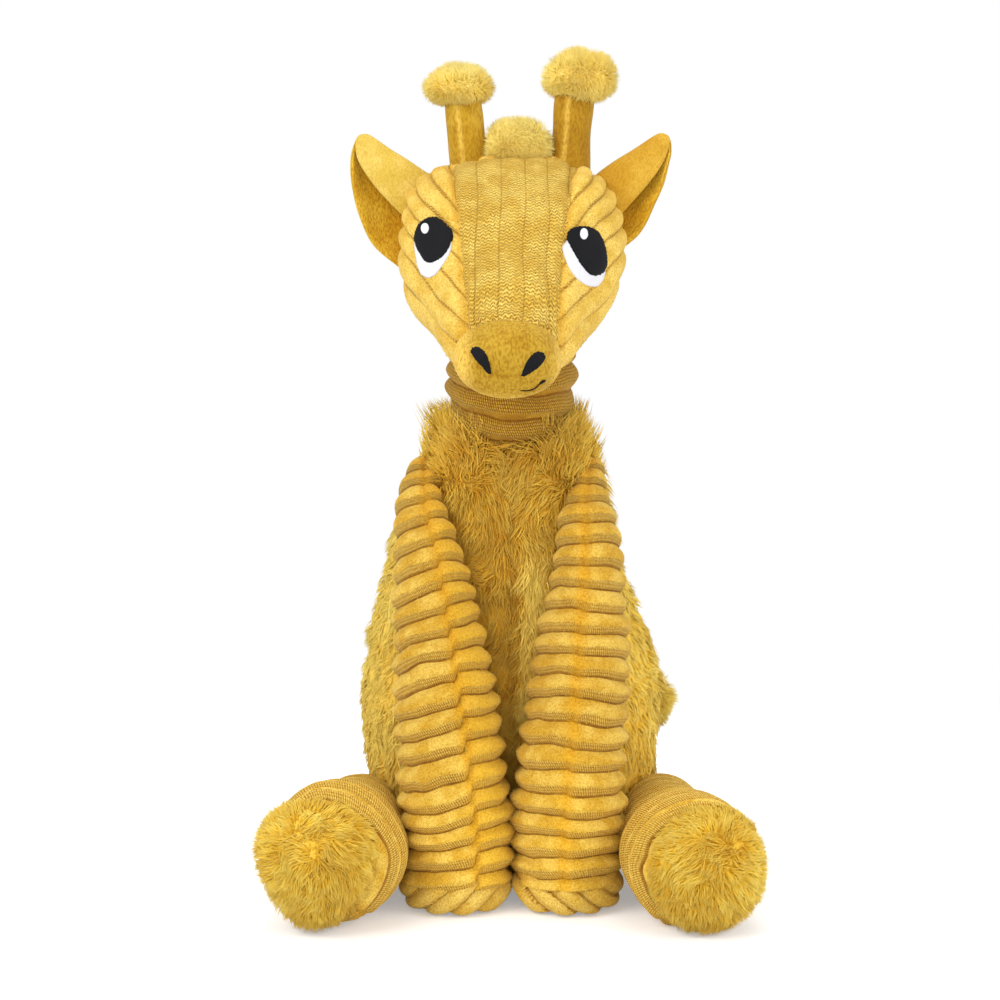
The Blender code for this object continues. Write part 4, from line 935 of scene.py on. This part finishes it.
def build_head():
    """Sewn head panels: ribbed forehead and cheeks, chin, nape and the velour muzzle."""
    grid, place, angles, up = head_grid()
    middle = grid[len(grid) // 3].mean(0)
    distance = np.repeat(place[:, None], len(angles), 1)
    brow_half = np.interp(distance, (NAPE_SEAM, MUZZLE_SEAM), BROW_HALF)
    held = hump(np.abs(grid[..., 0]) - brow_half, 1.5 * MM)
    for seam in (NAPE_SEAM, MUZZLE_SEAM):
        held = np.maximum(held, hump(distance - seam, 1.5 * MM))
    grid = plumped(grid, held, 1.6 * MM, 3)
    out = normals_of(grid, middle)
    x, y, z = np.moveaxis(grid, -1, 0)
    edge, top = np.abs(x) - brow_half, up > 0
    # the forehead's ribs run lengthways, the cheeks' ribs slant and turn round the jaw
    brow_rib = x / (8.8 * MM) + 0.5 + drift(grid, 0.04, 81) * 0.08
    brow = (1 - np.abs(2 * (brow_rib % 1) - 1) ** 4.0) * 1.0 * MM
    slope = math.radians(47)
    turn = np.minimum(angles, TURN - angles)
    past = np.maximum(turn - math.radians(112), 0)
    half_x, half_z = np.abs(x).max(1, keepdims=True), up.max(1, keepdims=True)
    reach = z + half_z * (np.cos(turn - past) - np.cos(turn)) * math.cos(HEAD_DROOP)
    beside = half_x * np.sin(turn - past)
    side_rib = reach * math.cos(slope) - beside * math.sin(slope) - past * 14 * MM
    side_rib = side_rib / (-7.3 * MM) + drift(grid, 0.03, 82) * 0.12 + 40.35
    cheek = (1 - np.abs(2 * (side_rib % 1) - 1) ** 2.6) * 2.1 * MM
    flat = 1 - np.maximum(eye_share(x, z, 0.0285), eye_share(x, z, -0.0290)) * (y < 0)
    # the muzzle's seam arches over the bridge of the nose
    snout = distance - MUZZLE_SEAM - hump(x, 17 * MM) * ease(4 * MM, 14 * MM, up) * 2.6 * MM
    on_muzzle = ease(-1.2 * MM, 1.2 * MM, snout)
    on_nape = ease(-1.2 * MM, 1.2 * MM, NAPE_SEAM - distance)
    on_brow = (1 - ease(-0.8 * MM, 0.8 * MM, edge)) * top
    swell = on_brow * brow + (1 - on_brow) * cheek * (1 - 0.5 * on_nape) * flat
    swell = (1 - on_muzzle) * swell + on_muzzle * 1.0 * MM * hump(snout - 6 * MM, 7 * MM)
    # seams pull the cloth in, and brows bulge over the eyes
    seam_side = hump(edge, 1.3 * MM) * top * (distance > NAPE_SEAM) * (1 - on_muzzle)
    seam_muzzle, seam_nape = hump(snout, 1.4 * MM), hump(distance - NAPE_SEAM, 1.4 * MM)
    bulge = hump(np.abs(x) - 30 * MM, 9 * MM) * hump(z - 0.272, 0.009) * (y < 0)
    swell = (swell + drift(grid, 0.03, 83) * 0.35 * MM - seam_side * 1.5 * MM
             - seam_muzzle * 1.6 * MM - seam_nape * 1.2 * MM + bulge * 1.6 * MM)
    grid = grid + out * swell[..., None]
    seams = np.clip(seam_side + seam_muzzle + seam_nape, 0, 1)
    # painted sheen: the muzzle is paler along its lower rim and its sides, the sheen of the pile
    # where the muzzle turns away
    lip = on_muzzle * np.maximum(ease(-4 * MM, -13 * MM, up),
                                 0.8 * ease(12 * MM, 18 * MM, np.abs(x)))
    values = {"rib": side_rib, "thread": distance * 0.8 + np.abs(x) * 0.6, "seam": seams * 0.6,
              "pale": lip}
    brow_values = {"rib": brow_rib, "thread": distance, "seam": seams}
    smooth_cloth = (side_rib % 1 < 0.8) * (1 - on_brow) * (flat > 0.6) * (distance < 0.110)
    add_fuzz("cheek_fuzz", "head", grid, 84, smooth_cloth, 1.3 * MM)
    muzzle, nape = snout >= 0, distance <= NAPE_SEAM
    rest = ~muzzle & ~nape
    inner, outer = rest & (edge < 0), rest & (edge >= 0)
    panels = (
        ("forehead_cloth", inner & top, brow_values, FOREHEAD_KNIT),
        ("left_cheek_cloth", outer & (x > 0), values, CHEEK_CORD),
        ("right_cheek_cloth", outer & (x < 0), values, CHEEK_CORD),
        ("chin_cloth", inner & ~top, values, CHEEK_CORD),
        ("nape_cloth", nape, values, CHEEK_CORD),
        ("muzzle_velour", muzzle, values, MUZZLE_VELOUR),
    )
    for name, mask, carried, material in panels:
        part, cloth = name.rsplit("_", 1)
        dress(skin_mesh(name, grid, carried, keep=mask[:-1]), material, "head",
              "gold_velour" if cloth == "velour" else "gold_cord_cloth", (part + "_panel",))
    return skin_mesh("head_guide", grid)


def rounded_outline(corners, count):
    """A smooth closed outline through the corners."""
    corners = np.array(corners)
    ring = np.vstack((corners[-3:], corners, corners[:3]))
    steps = np.append(0, np.cumsum(np.linalg.norm(np.diff(ring, axis=0), axis=1)))
    start, end = steps[3], steps[3 + len(corners)]
    outline = smooth(steps, ring, np.linspace(start, end, count, endpoint=False))
    for turn in range(6):
        outline = (np.roll(outline, 1, 0) + 2 * outline + np.roll(outline, -1, 0)) / 4
    return outline


def sight(tree, px, py):
    """Where the camera sees the head at a pixel of the picture, and which way it faces there."""
    eye, ray = Vector(CAMERA_PLACE), camera_ray(px, py)
    hit, normal = tree.ray_cast(eye, ray)[:2]
    if hit is None:
        hit, normal = tree.find_nearest(eye + ray)[:2]
    return hit, normal


def patch(name, tree, corners, lift, thickness, slot, node, ragged=0.0):
    """Embroidery laid on the face: a padded patch inside an outline seen from the camera."""
    spokes, rings = 96, 14
    outline = rounded_outline(corners, spokes)
    centre = outline.mean(0)
    fray = 1 + ragged * np.random.default_rng(len(name)).uniform(-1, 1, spokes)
    grid = np.zeros((rings + 1, spokes, 3))
    for row, share in enumerate(np.append(np.linspace(0.06, 1.0, rings), 1.0)):
        puff = -0.8 * MM if row == rings else lift + thickness * math.sqrt(max(1 - share ** 4, 0))
        for spoke in range(spokes):
            reach = share * (fray[spoke] if share > 0.9 else 1)
            hit, normal = sight(tree, *(centre + (outline[spoke] - centre) * reach))
            grid[row, spoke] = hit + normal * puff
    dress(skin_mesh(name, grid), THREADS[slot], "head", slot, (node,))


def build_face(whole):
    """Eyes, nostrils and smile, stitched where the picture has them: its pixels are named."""
    points = [vertex.co.copy() for vertex in whole.vertices]
    tree = BVHTree.FromPolygons(points, [tuple(face.vertices) for face in whole.polygons])
    eyes = {
        "right": (
            ((415.7, 236.4), (451.4, 240.0), (450.7, 250.7), (445.2, 261.4), (438.9, 270.4),
             (433.6, 276.6), (426.8, 277.9), (422.0, 274.8), (418.4, 266.8), (416.2, 256.1),
             (415.0, 245.4)),
            ((433.6, 217.1), (442.5, 221.2), (448.8, 226.6), (453.6, 233.8), (452.3, 240.0),
             (450.0, 247.1), (445.2, 255.2), (438.9, 260.5), (431.8, 263.2), (426.1, 261.4),
             (422.0, 255.2), (417.9, 247.1), (415.7, 240.0), (416.6, 231.1), (420.2, 223.9),
             (425.5, 219.5)),
            (427.3, 229.3)),
        "left": (
            ((567.5, 240.0), (585.4, 254.3), (604.1, 265.0), (604.6, 273.9), (601.4, 282.0),
             (595.2, 287.3), (588.9, 286.4), (581.8, 282.9), (575.5, 277.5), (569.3, 268.6),
             (564.8, 257.9), (562.5, 245.4)),
            ((578.2, 226.6), (585.4, 227.0), (594.3, 230.2), (600.5, 238.2), (604.1, 248.9),
             (605.4, 261.4), (604.1, 269.5), (598.8, 274.8), (592.5, 275.7), (587.5, 274.0),
             (582.0, 268.0), (575.4, 257.4), (569.6, 246.2), (566.6, 237.4), (568.4, 230.6),
             (572.9, 227.5)),
            (582.3, 235.0)),
    }
    for name, (white, pupil, glint) in eyes.items():
        patch(name + "_eye_white_satin", tree, white, 0.35 * MM, 0.35 * MM, "white_thread",
              name + "_eye_white", 0.015)
        patch(name + "_pupil_satin", tree, pupil, 0.9 * MM, 0.4 * MM, "black_thread",
              name + "_pupil", 0.02)
        oval = [(glint[0] + 3.7 * math.cos(turn), glint[1] + 5.6 * math.sin(turn))
                for turn in turns(10)]
        patch(name + "_glint_satin", tree, oval, 1.4 * MM, 0.25 * MM, "white_thread",
              name + "_eye_glint")
    nostrils = {
        "right": ((472.0, 348.0), (476.4, 346.8), (482.7, 349.8), (487.1, 356.1), (489.3, 362.3),
                  (490.7, 368.6), (491.1, 373.9), (487.5, 373.0), (482.7, 366.8), (477.3, 361.4),
                  (472.9, 355.2), (470.7, 350.7)),
        "left": ((545.2, 356.1), (541.6, 352.0), (534.5, 353.0), (529.1, 358.2), (525.5, 364.1),
                 (522.9, 370.4), (521.1, 376.1), (525.0, 375.4), (531.8, 371.6), (538.9, 366.8),
                 (543.4, 361.4)),
    }
    for name, corners in nostrils.items():
        patch(name + "_nostril_satin", tree, corners, 0.35 * MM, 0.4 * MM, "black_thread",
              name + "_nostril", 0.05)
    # the thin smile, thicker at its outer end
    smile = smooth(np.arange(6), ((520.7, 390.4), (528.2, 390.4), (534.5, 388.2), (538.9, 384.6),
                                  (541.6, 382.0), (545.2, 380.2)), np.linspace(0, 5, 28))
    width = np.interp(np.linspace(0, 1, 28), (0, 0.3, 0.62, 0.8, 0.95, 1),
                      (0.18, 0.26, 0.22, 0.62, 0.52, 0.18)) * MM
    seen = [sight(tree, px, py) for px, py in smile]
    path = np.array([hit + normal * 0.15 * MM for hit, normal in seen])
    grid, _ = tube_grid(path, width, turns(12), UPRIGHT)
    dress(skin_mesh("smile_thread", grid), THREADS["black_thread"], "head", "black_thread",
          ("smile_stitch",))


def build_ears():
    """Ears of two sewn layers: a leaf whose upper edge folds forward over the lining."""
    rims = {
        # from root to tip: lower edge, edge of the fold in front, upper edge, as x and z in mm
        "right": (
            ((43.0, 244.5), (53.0, 253.0), (59.0, 266.5), (61.5, 280.5), (60.8, 291.0)),
            ((40.5, 263.0), (47.5, 270.0), (53.5, 277.0), (58.8, 285.5), (60.0, 293.0)),
            ((31.5, 278.0), (38.5, 283.0), (46.0, 287.5), (52.5, 292.8), (57.0, 296.0))),
        "left": (
            ((41.0, 250.5), (49.5, 258.0), (55.5, 270.0), (59.5, 282.0), (61.8, 290.0)),
            ((38.0, 260.5), (45.5, 268.5), (52.0, 276.0), (57.5, 283.5), (61.0, 291.5)),
            ((32.5, 277.5), (40.0, 283.5), (47.0, 287.8), (54.0, 293.0), (59.0, 295.8))),
    }
    shares, across_shares = np.linspace(0, 1, 48), np.linspace(0, 1, 56)
    full = (np.sin(np.clip(1.06 - shares, 0, 1) * math.pi / 2) ** 0.6)[:, None]

    def at(places, depth):
        return np.append(places, depth * full * MM - (20.5 + 3 * shares[:, None]) * MM, 1)

    for name, side in SIDES:
        low, fold, high = (smooth(np.linspace(0, 1, 5), np.array(edge) * MM, shares)
                           for edge in rims[name])
        knots = np.stack((at(low, -5.0), at(low * 0.68 + high * 0.32, 0.6),
                          at(low * 0.30 + high * 0.70, 2.6), at(high * 0.99 + low * 0.01, -0.6),
                          at(high * 0.58 + fold * 0.42, -4.8), at(fold, -5.6)))
        wall = smooth((0, 0.24, 0.48, 0.68, 0.84, 1.0), knots, across_shares).transpose(1, 0, 2)
        wall = np.stack((side * wall[..., 0], wall[..., 2], wall[..., 1]), -1)
        blunt = np.sqrt(1 - np.clip((shares - 0.86) / 0.142, 0, 1) ** 2.2)[:, None, None]
        spine = wall.mean(1, keepdims=True)
        wall = spine + (wall - spine) * blunt
        out = unit(np.cross(np.gradient(wall, axis=0), np.gradient(wall, axis=1))) * -side
        body = (np.sin(across_shares * math.pi).clip(0, 1) ** 0.25 * full)[..., None]
        soft = drift(wall, 0.016, 90)[..., None] * 0.25 * MM
        # the left ear's back is the darker copy of its velour: painted shade
        for layer, thick, sign, material, slot in (
                ("back", 1.9, 1, EAR_VELOUR if side < 0 else EAR_SHADE, "gold_velour"),
                ("lining", 1.5, -1, AMBER_VELOUR, "amber_velour")):
            outer = wall + out * (sign * thick * MM * (0.25 + 0.75 * body) + soft)
            inner = wall + out * (sign * 0.1 * MM)
            ring = np.concatenate((outer, inner[:, ::-1]), 1)
            dress(skin_mesh(name + "_ear_" + layer + "_velour", ring), material, name + "_ear",
                  slot, (name + "_ear_" + layer,))


def build_horns():
    """Stub horns with round tufts of unlike size, and the tuft of mane between them."""
    horns = (
        # foot, top, radius, then the tuft's middle and half sizes, in mm
        ("right", (-15.5, -21.0, 279.0), (-19.0, -18.0, 309.0), 7.2, (-20.6, -18.0, 313.0),
         (9.4, 9.4, 3.5), HORN_VELOUR),
        # the left horn takes the darker copy of the velour: painted shade
        ("left", (21.8, -21.0, 278.0), (24.2, -18.0, 309.0), 7.6, (26.4, -18.0, 316.4),
         (10.4, 10.4, 6.4), HORN_SHADE),
    )
    for name, foot, top, radius, centre, half, velour in horns:
        foot, top = np.array(foot) * MM, np.array(top) * MM
        t, angles = np.linspace(0, 1, 40), turns(48)
        grid, out = tube_grid(foot + (top - foot) * t[:, None], radius * MM * (1.06 - 0.10 * t),
                              angles, AHEAD)
        wrinkle = drift(grid * (1, 1, 1.6), 0.030, 95) * 0.25 * MM
        across = (angles + 0.34 + math.pi) % TURN - math.pi
        seam = hump(across * radius, 0.9)
        grid = grid + out * (wrinkle - seam * 0.7 * MM)[..., None]
        dress(skin_mesh(name + "_horn_velour", grid, {"pale": seam * 0.7}), velour, "head",
              "gold_velour", (name + "_horn",))
        tuft(name + "_horn_tuft", "head", centre, half, HORN_TUFT_HAIRS, 7.2, TUFT_FUR,
             97 + len(name))
    tuft("mane_tuft", "head", (2.5, -22.0, 290.6), (9.6, 6.0, 6.4), MANE_HAIRS, 7.4, TUFT_FUR, 99)


def tuft(node, body, centre, half, count, length, material, seed, droop=0.15):
    """A round tuft: a small core with hairs standing out all round. Sizes in mm."""
    rise, angles = np.linspace(-math.pi / 2 + 0.05, math.pi / 2 - 0.05, 24)[:, None], turns(32)
    ball = stacked(np.cos(rise) * np.cos(angles), np.cos(rise) * np.sin(angles), np.sin(rise))
    half = np.array(half) * MM
    grid = np.array(centre) * MM + ball * half
    out = unit(ball / half)
    roots, normals = scatter(grid, out, count, seed)
    combs = unit(stirred(roots, 0.012, seed) - UPRIGHT * droop)
    hair = locks_mesh(node + "_fur", roots, normals, combs, length * MM, 0.40 * MM, 0.74,
                      clump=14, pull=0.50, stray=0.40, seed=seed, sag=0.12, shade=0.30)
    core = skin_mesh(node + "_fur_core", grid + out * 1.2 * MM, {"tip": 0.95, "tone": 1.0})
    dress(joined(hair, core), material, body, "gold_fur", (node,))


def build_neck():
    """The bunched neck: ribbed cloth in loose folds from the collar of fur up to the head."""
    line = np.array(((-1.0, -8.0, 171.5), (-1.0, -8.2, 179.0), (-0.5, -8.6, 188.0),
                     (0, -9.0, 198.0), (0, -9.5, 208.0), (0, -10.0, 216.0), (0, -10.0, 224.0))) * MM
    radii = np.array((17.0, 22.4, 23.9, 24.2, 22.8, 21.0, 15.0)) * MM
    grid, values, _ = ribbed_grid(line, radii, 90, 140, AHEAD, NECK_PITCH, 3.0 * MM, 41,
                                  bow=(2.4 * MM, 2.4 * MM), slant=1.6 * MM)
    folds = drift(grid * (1, 1, 1.6), 0.030, 42) * 0.9 * MM
    out = unit((grid - np.array((0, -0.008, 0))) * (1, 1, 0))
    # the neck wears the darker copy of the ribbed plush: painted shade
    dress(skin_mesh("neck_cloth", grid + out * folds[..., None], values), NECK_SHADED_CORD, "neck",
          "gold_cord_cloth", ("neck_sleeve",))


def build_tail():
    """The tail: a thin ribbed tube against the back, with a tuft at its end."""
    tuft_low, tuft_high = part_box("tail_tuft")
    steps = np.linspace(0, 1, 12)
    turn = np.radians(2 + 50 * steps)
    rise = 0.0440 + 0.0130 * steps
    width, depth, setback = smooth(torso_rows[:, 0], torso_rows[:, 1:], rise / TORSO_SIZE[2]).T
    reach = TAIL_RADIUS + 1.2 * MM
    x = np.sin(turn) * (TORSO_SIZE[0] / 2 * width + reach)
    y = TORSO_SETBACK * setback + np.cos(turn) * (TORSO_SIZE[1] / 2 * depth + reach)
    grid, values, _ = ribbed_grid(np.stack((x, y, rise), -1), np.full(12, TAIL_RADIUS), 130,
                                  40, UPRIGHT, TAIL_PITCH, 0.9 * MM, 45, (3.1, 3.1))
    dress(skin_mesh("tail_cloth", grid, values), CORD, "tail", "gold_cord_cloth",
          ("tail_sleeve",))
    centre = (np.array(tuft_low) + np.array(tuft_high)) / 2 / MM - np.array((0, 0, 1.2))
    tuft("tail_tuft", "tail", centre, (7.0, 6.0, 7.4), TAIL_TUFT_HAIRS, 8.6, PALE_FUR, 47, 0.5)


def build_inside():
    """Loose stuffing and the pouch of pellets: softened copies of their plain solids."""
    bodies = ("torso", "neck", "head", "left_arm", "right_arm", "left_leg", "right_leg")
    inside = [(body + "_filling", body, STUFFING, "stuffing") for body in bodies]
    inside.append(("seat_pellet_pouch", "torso", POUCH_CLOTH, "pellet_cloth"))
    for node, body, material, slot in inside:
        copy = bpy.data.objects.new(node + "_guide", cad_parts[node].data.copy())
        bpy.context.scene.collection.objects.link(copy)
        remesh = copy.modifiers.new("even", "REMESH")
        remesh.mode = "VOXEL"
        remesh.voxel_size = 2.2 * MM
        relax = copy.modifiers.new("relax", "SMOOTH")
        relax.factor = 0.5
        relax.iterations = 4
        depsgraph = bpy.context.evaluated_depsgraph_get()
        mesh = bpy.data.meshes.new_from_object(copy.evaluated_get(depsgraph))
        bpy.data.objects.remove(copy)
        mesh.name = node + "_fibre"
        mesh.materials.clear()
        points, normals = np.empty((2, len(mesh.vertices) * 3))
        mesh.vertices.foreach_get("co", points)
        mesh.vertices.foreach_get("normal", normals)
        points, normals = points.reshape(-1, 3), normals.reshape(-1, 3)
        # drawn in where the cloth outside lies closer than its plain solid
        drawn = np.abs(drift(points, 0.009, 101)) * 0.6 * MM + 1.4 * MM
        if node == "head_filling":
            along, _ = head_frame()
            drawn = drawn + 4.0 * MM + 4.5 * MM * ease(0.080, 0.096, (points - HEAD_BACK) @ along)
        if node == "torso_filling":
            drawn = drawn + 6.0 * MM * ease(0, 0.02, points[:, 0]) * hump(points[:, 2] - 0.116,
                                                                          0.035)
        if "leg" in node:
            hip = HIP * (1 if "left" in node else -1, -1, 1)
            far = np.linalg.norm(points - hip, axis=1)
            drawn = drawn + 5.5 * MM * ease(60 * MM, 78 * MM, far)
        mesh.vertices.foreach_set("co", (points - normals * drawn[:, None]).ravel())
        mesh.update()
        mesh.shade_smooth()
        dress(mesh, material, body, slot, (node,))


def build_stage():
    """Camera, soft studio light, and a white floor that keeps the toy's shadow."""
    scene = bpy.context.scene
    lens = bpy.data.cameras.new("camera")
    lens.sensor_width = SENSOR
    lens.lens = SENSOR * FOCAL_PIXELS / FRAME_PIXELS
    lens.clip_start, lens.clip_end = 0.05, 20.0
    camera = bpy.data.objects.new("camera", lens)
    camera.location = CAMERA_PLACE
    camera.rotation_euler = (math.pi / 2 - CAMERA_DROP, 0, 0)
    scene.collection.objects.link(camera)
    scene.camera = camera
    lamps = (
        # place, size and power
        ("key", (-0.85, -0.70, 0.95), 0.80, 8.6),
        ("fill", (1.00, -0.55, 0.60), 0.80, 5.0),
        ("front", (0.00, -1.25, 0.34), 0.90, 2.7),
        ("top", (0.05, 0.10, 1.25), 0.80, 3.0),
    )
    for name, place, size, power in lamps:
        light = bpy.data.lights.new(name, "AREA")
        light.shape = "DISK"
        light.size = size
        light.energy = power
        lamp = bpy.data.objects.new(name, light)
        lamp.location = place
        aim = Vector((0, -0.02, 0.15)) - Vector(place)
        lamp.rotation_euler = aim.to_track_quat("-Z", "Y").to_euler()
        scene.collection.objects.link(lamp)
    world = bpy.data.worlds.new("studio")
    world.use_nodes = True
    nodes, links = world.node_tree.nodes, world.node_tree.links
    soft = nodes["Background"]
    soft.inputs["Color"].default_value = (0.96, 0.97, 1.0, 1.0)
    soft.inputs["Strength"].default_value = 0.76
    white = nodes.new("ShaderNodeBackground")
    white.inputs["Color"].default_value = (1, 1, 1, 1)
    white.inputs["Strength"].default_value = 1.0
    blend = nodes.new("ShaderNodeMixShader")
    path = nodes.new("ShaderNodeLightPath")
    for place, output in enumerate((path.outputs["Is Camera Ray"], soft.outputs[0],
                                    white.outputs[0])):
        links.new(output, blend.inputs[place])
    links.new(blend.outputs[0], nodes["World Output"].inputs["Surface"])
    scene.world = world
    half = 4.0
    corners = np.array(((-half, -half, 0), (half, -half, 0), (half, half, 0), (-half, half, 0)))
    floor = show(raw_mesh("floor", corners, [np.array(((0, 1, 2, 3),))]), floor_finish())
    scene.view_settings.view_transform = "Standard"


def floor_finish():
    """White floor: its shadows stay near the toy, and further off it is plain white."""
    finish = Finish("white_floor", 0.9)
    finish.shader.inputs["Base Color"].default_value = (0.86, 0.86, 0.86, 1)
    surface = Wire(finish, finish.shader.outputs[0])
    spot = finish.node("TexCoord", output=3)
    far = finish.node("VectorMath", {"operation": "LENGTH"}, {0: spot}, output=1)
    glow, lift = (finish.node("Emission", None, {"Color": (1, 1, 1, 1), "Strength": strength})
                  for strength in (1.0, 0.30))
    near = finish.node("AddShader", None, {0: surface, 1: lift})
    plain = finish.node("MixShader", None, {0: far.step(0.20, 0.42), 1: near, 2: glow})
    final = finish.node("MixShader", None, {0: finish.node("LightPath"), 1: surface, 2: plain})
    finish.tree.links.new(final.socket, finish.tree.nodes["Material Output"].inputs["Surface"])
    return finish.material


def main():
    """Dress the whole toy and set the stage."""
    build_torso()
    build_neck()
    whole = build_head()
    build_face(whole)
    bpy.data.meshes.remove(whole)
    build_ears()
    build_horns()
    build_arms()
    build_legs()
    build_tail()
    build_inside()
    build_stage()


main()
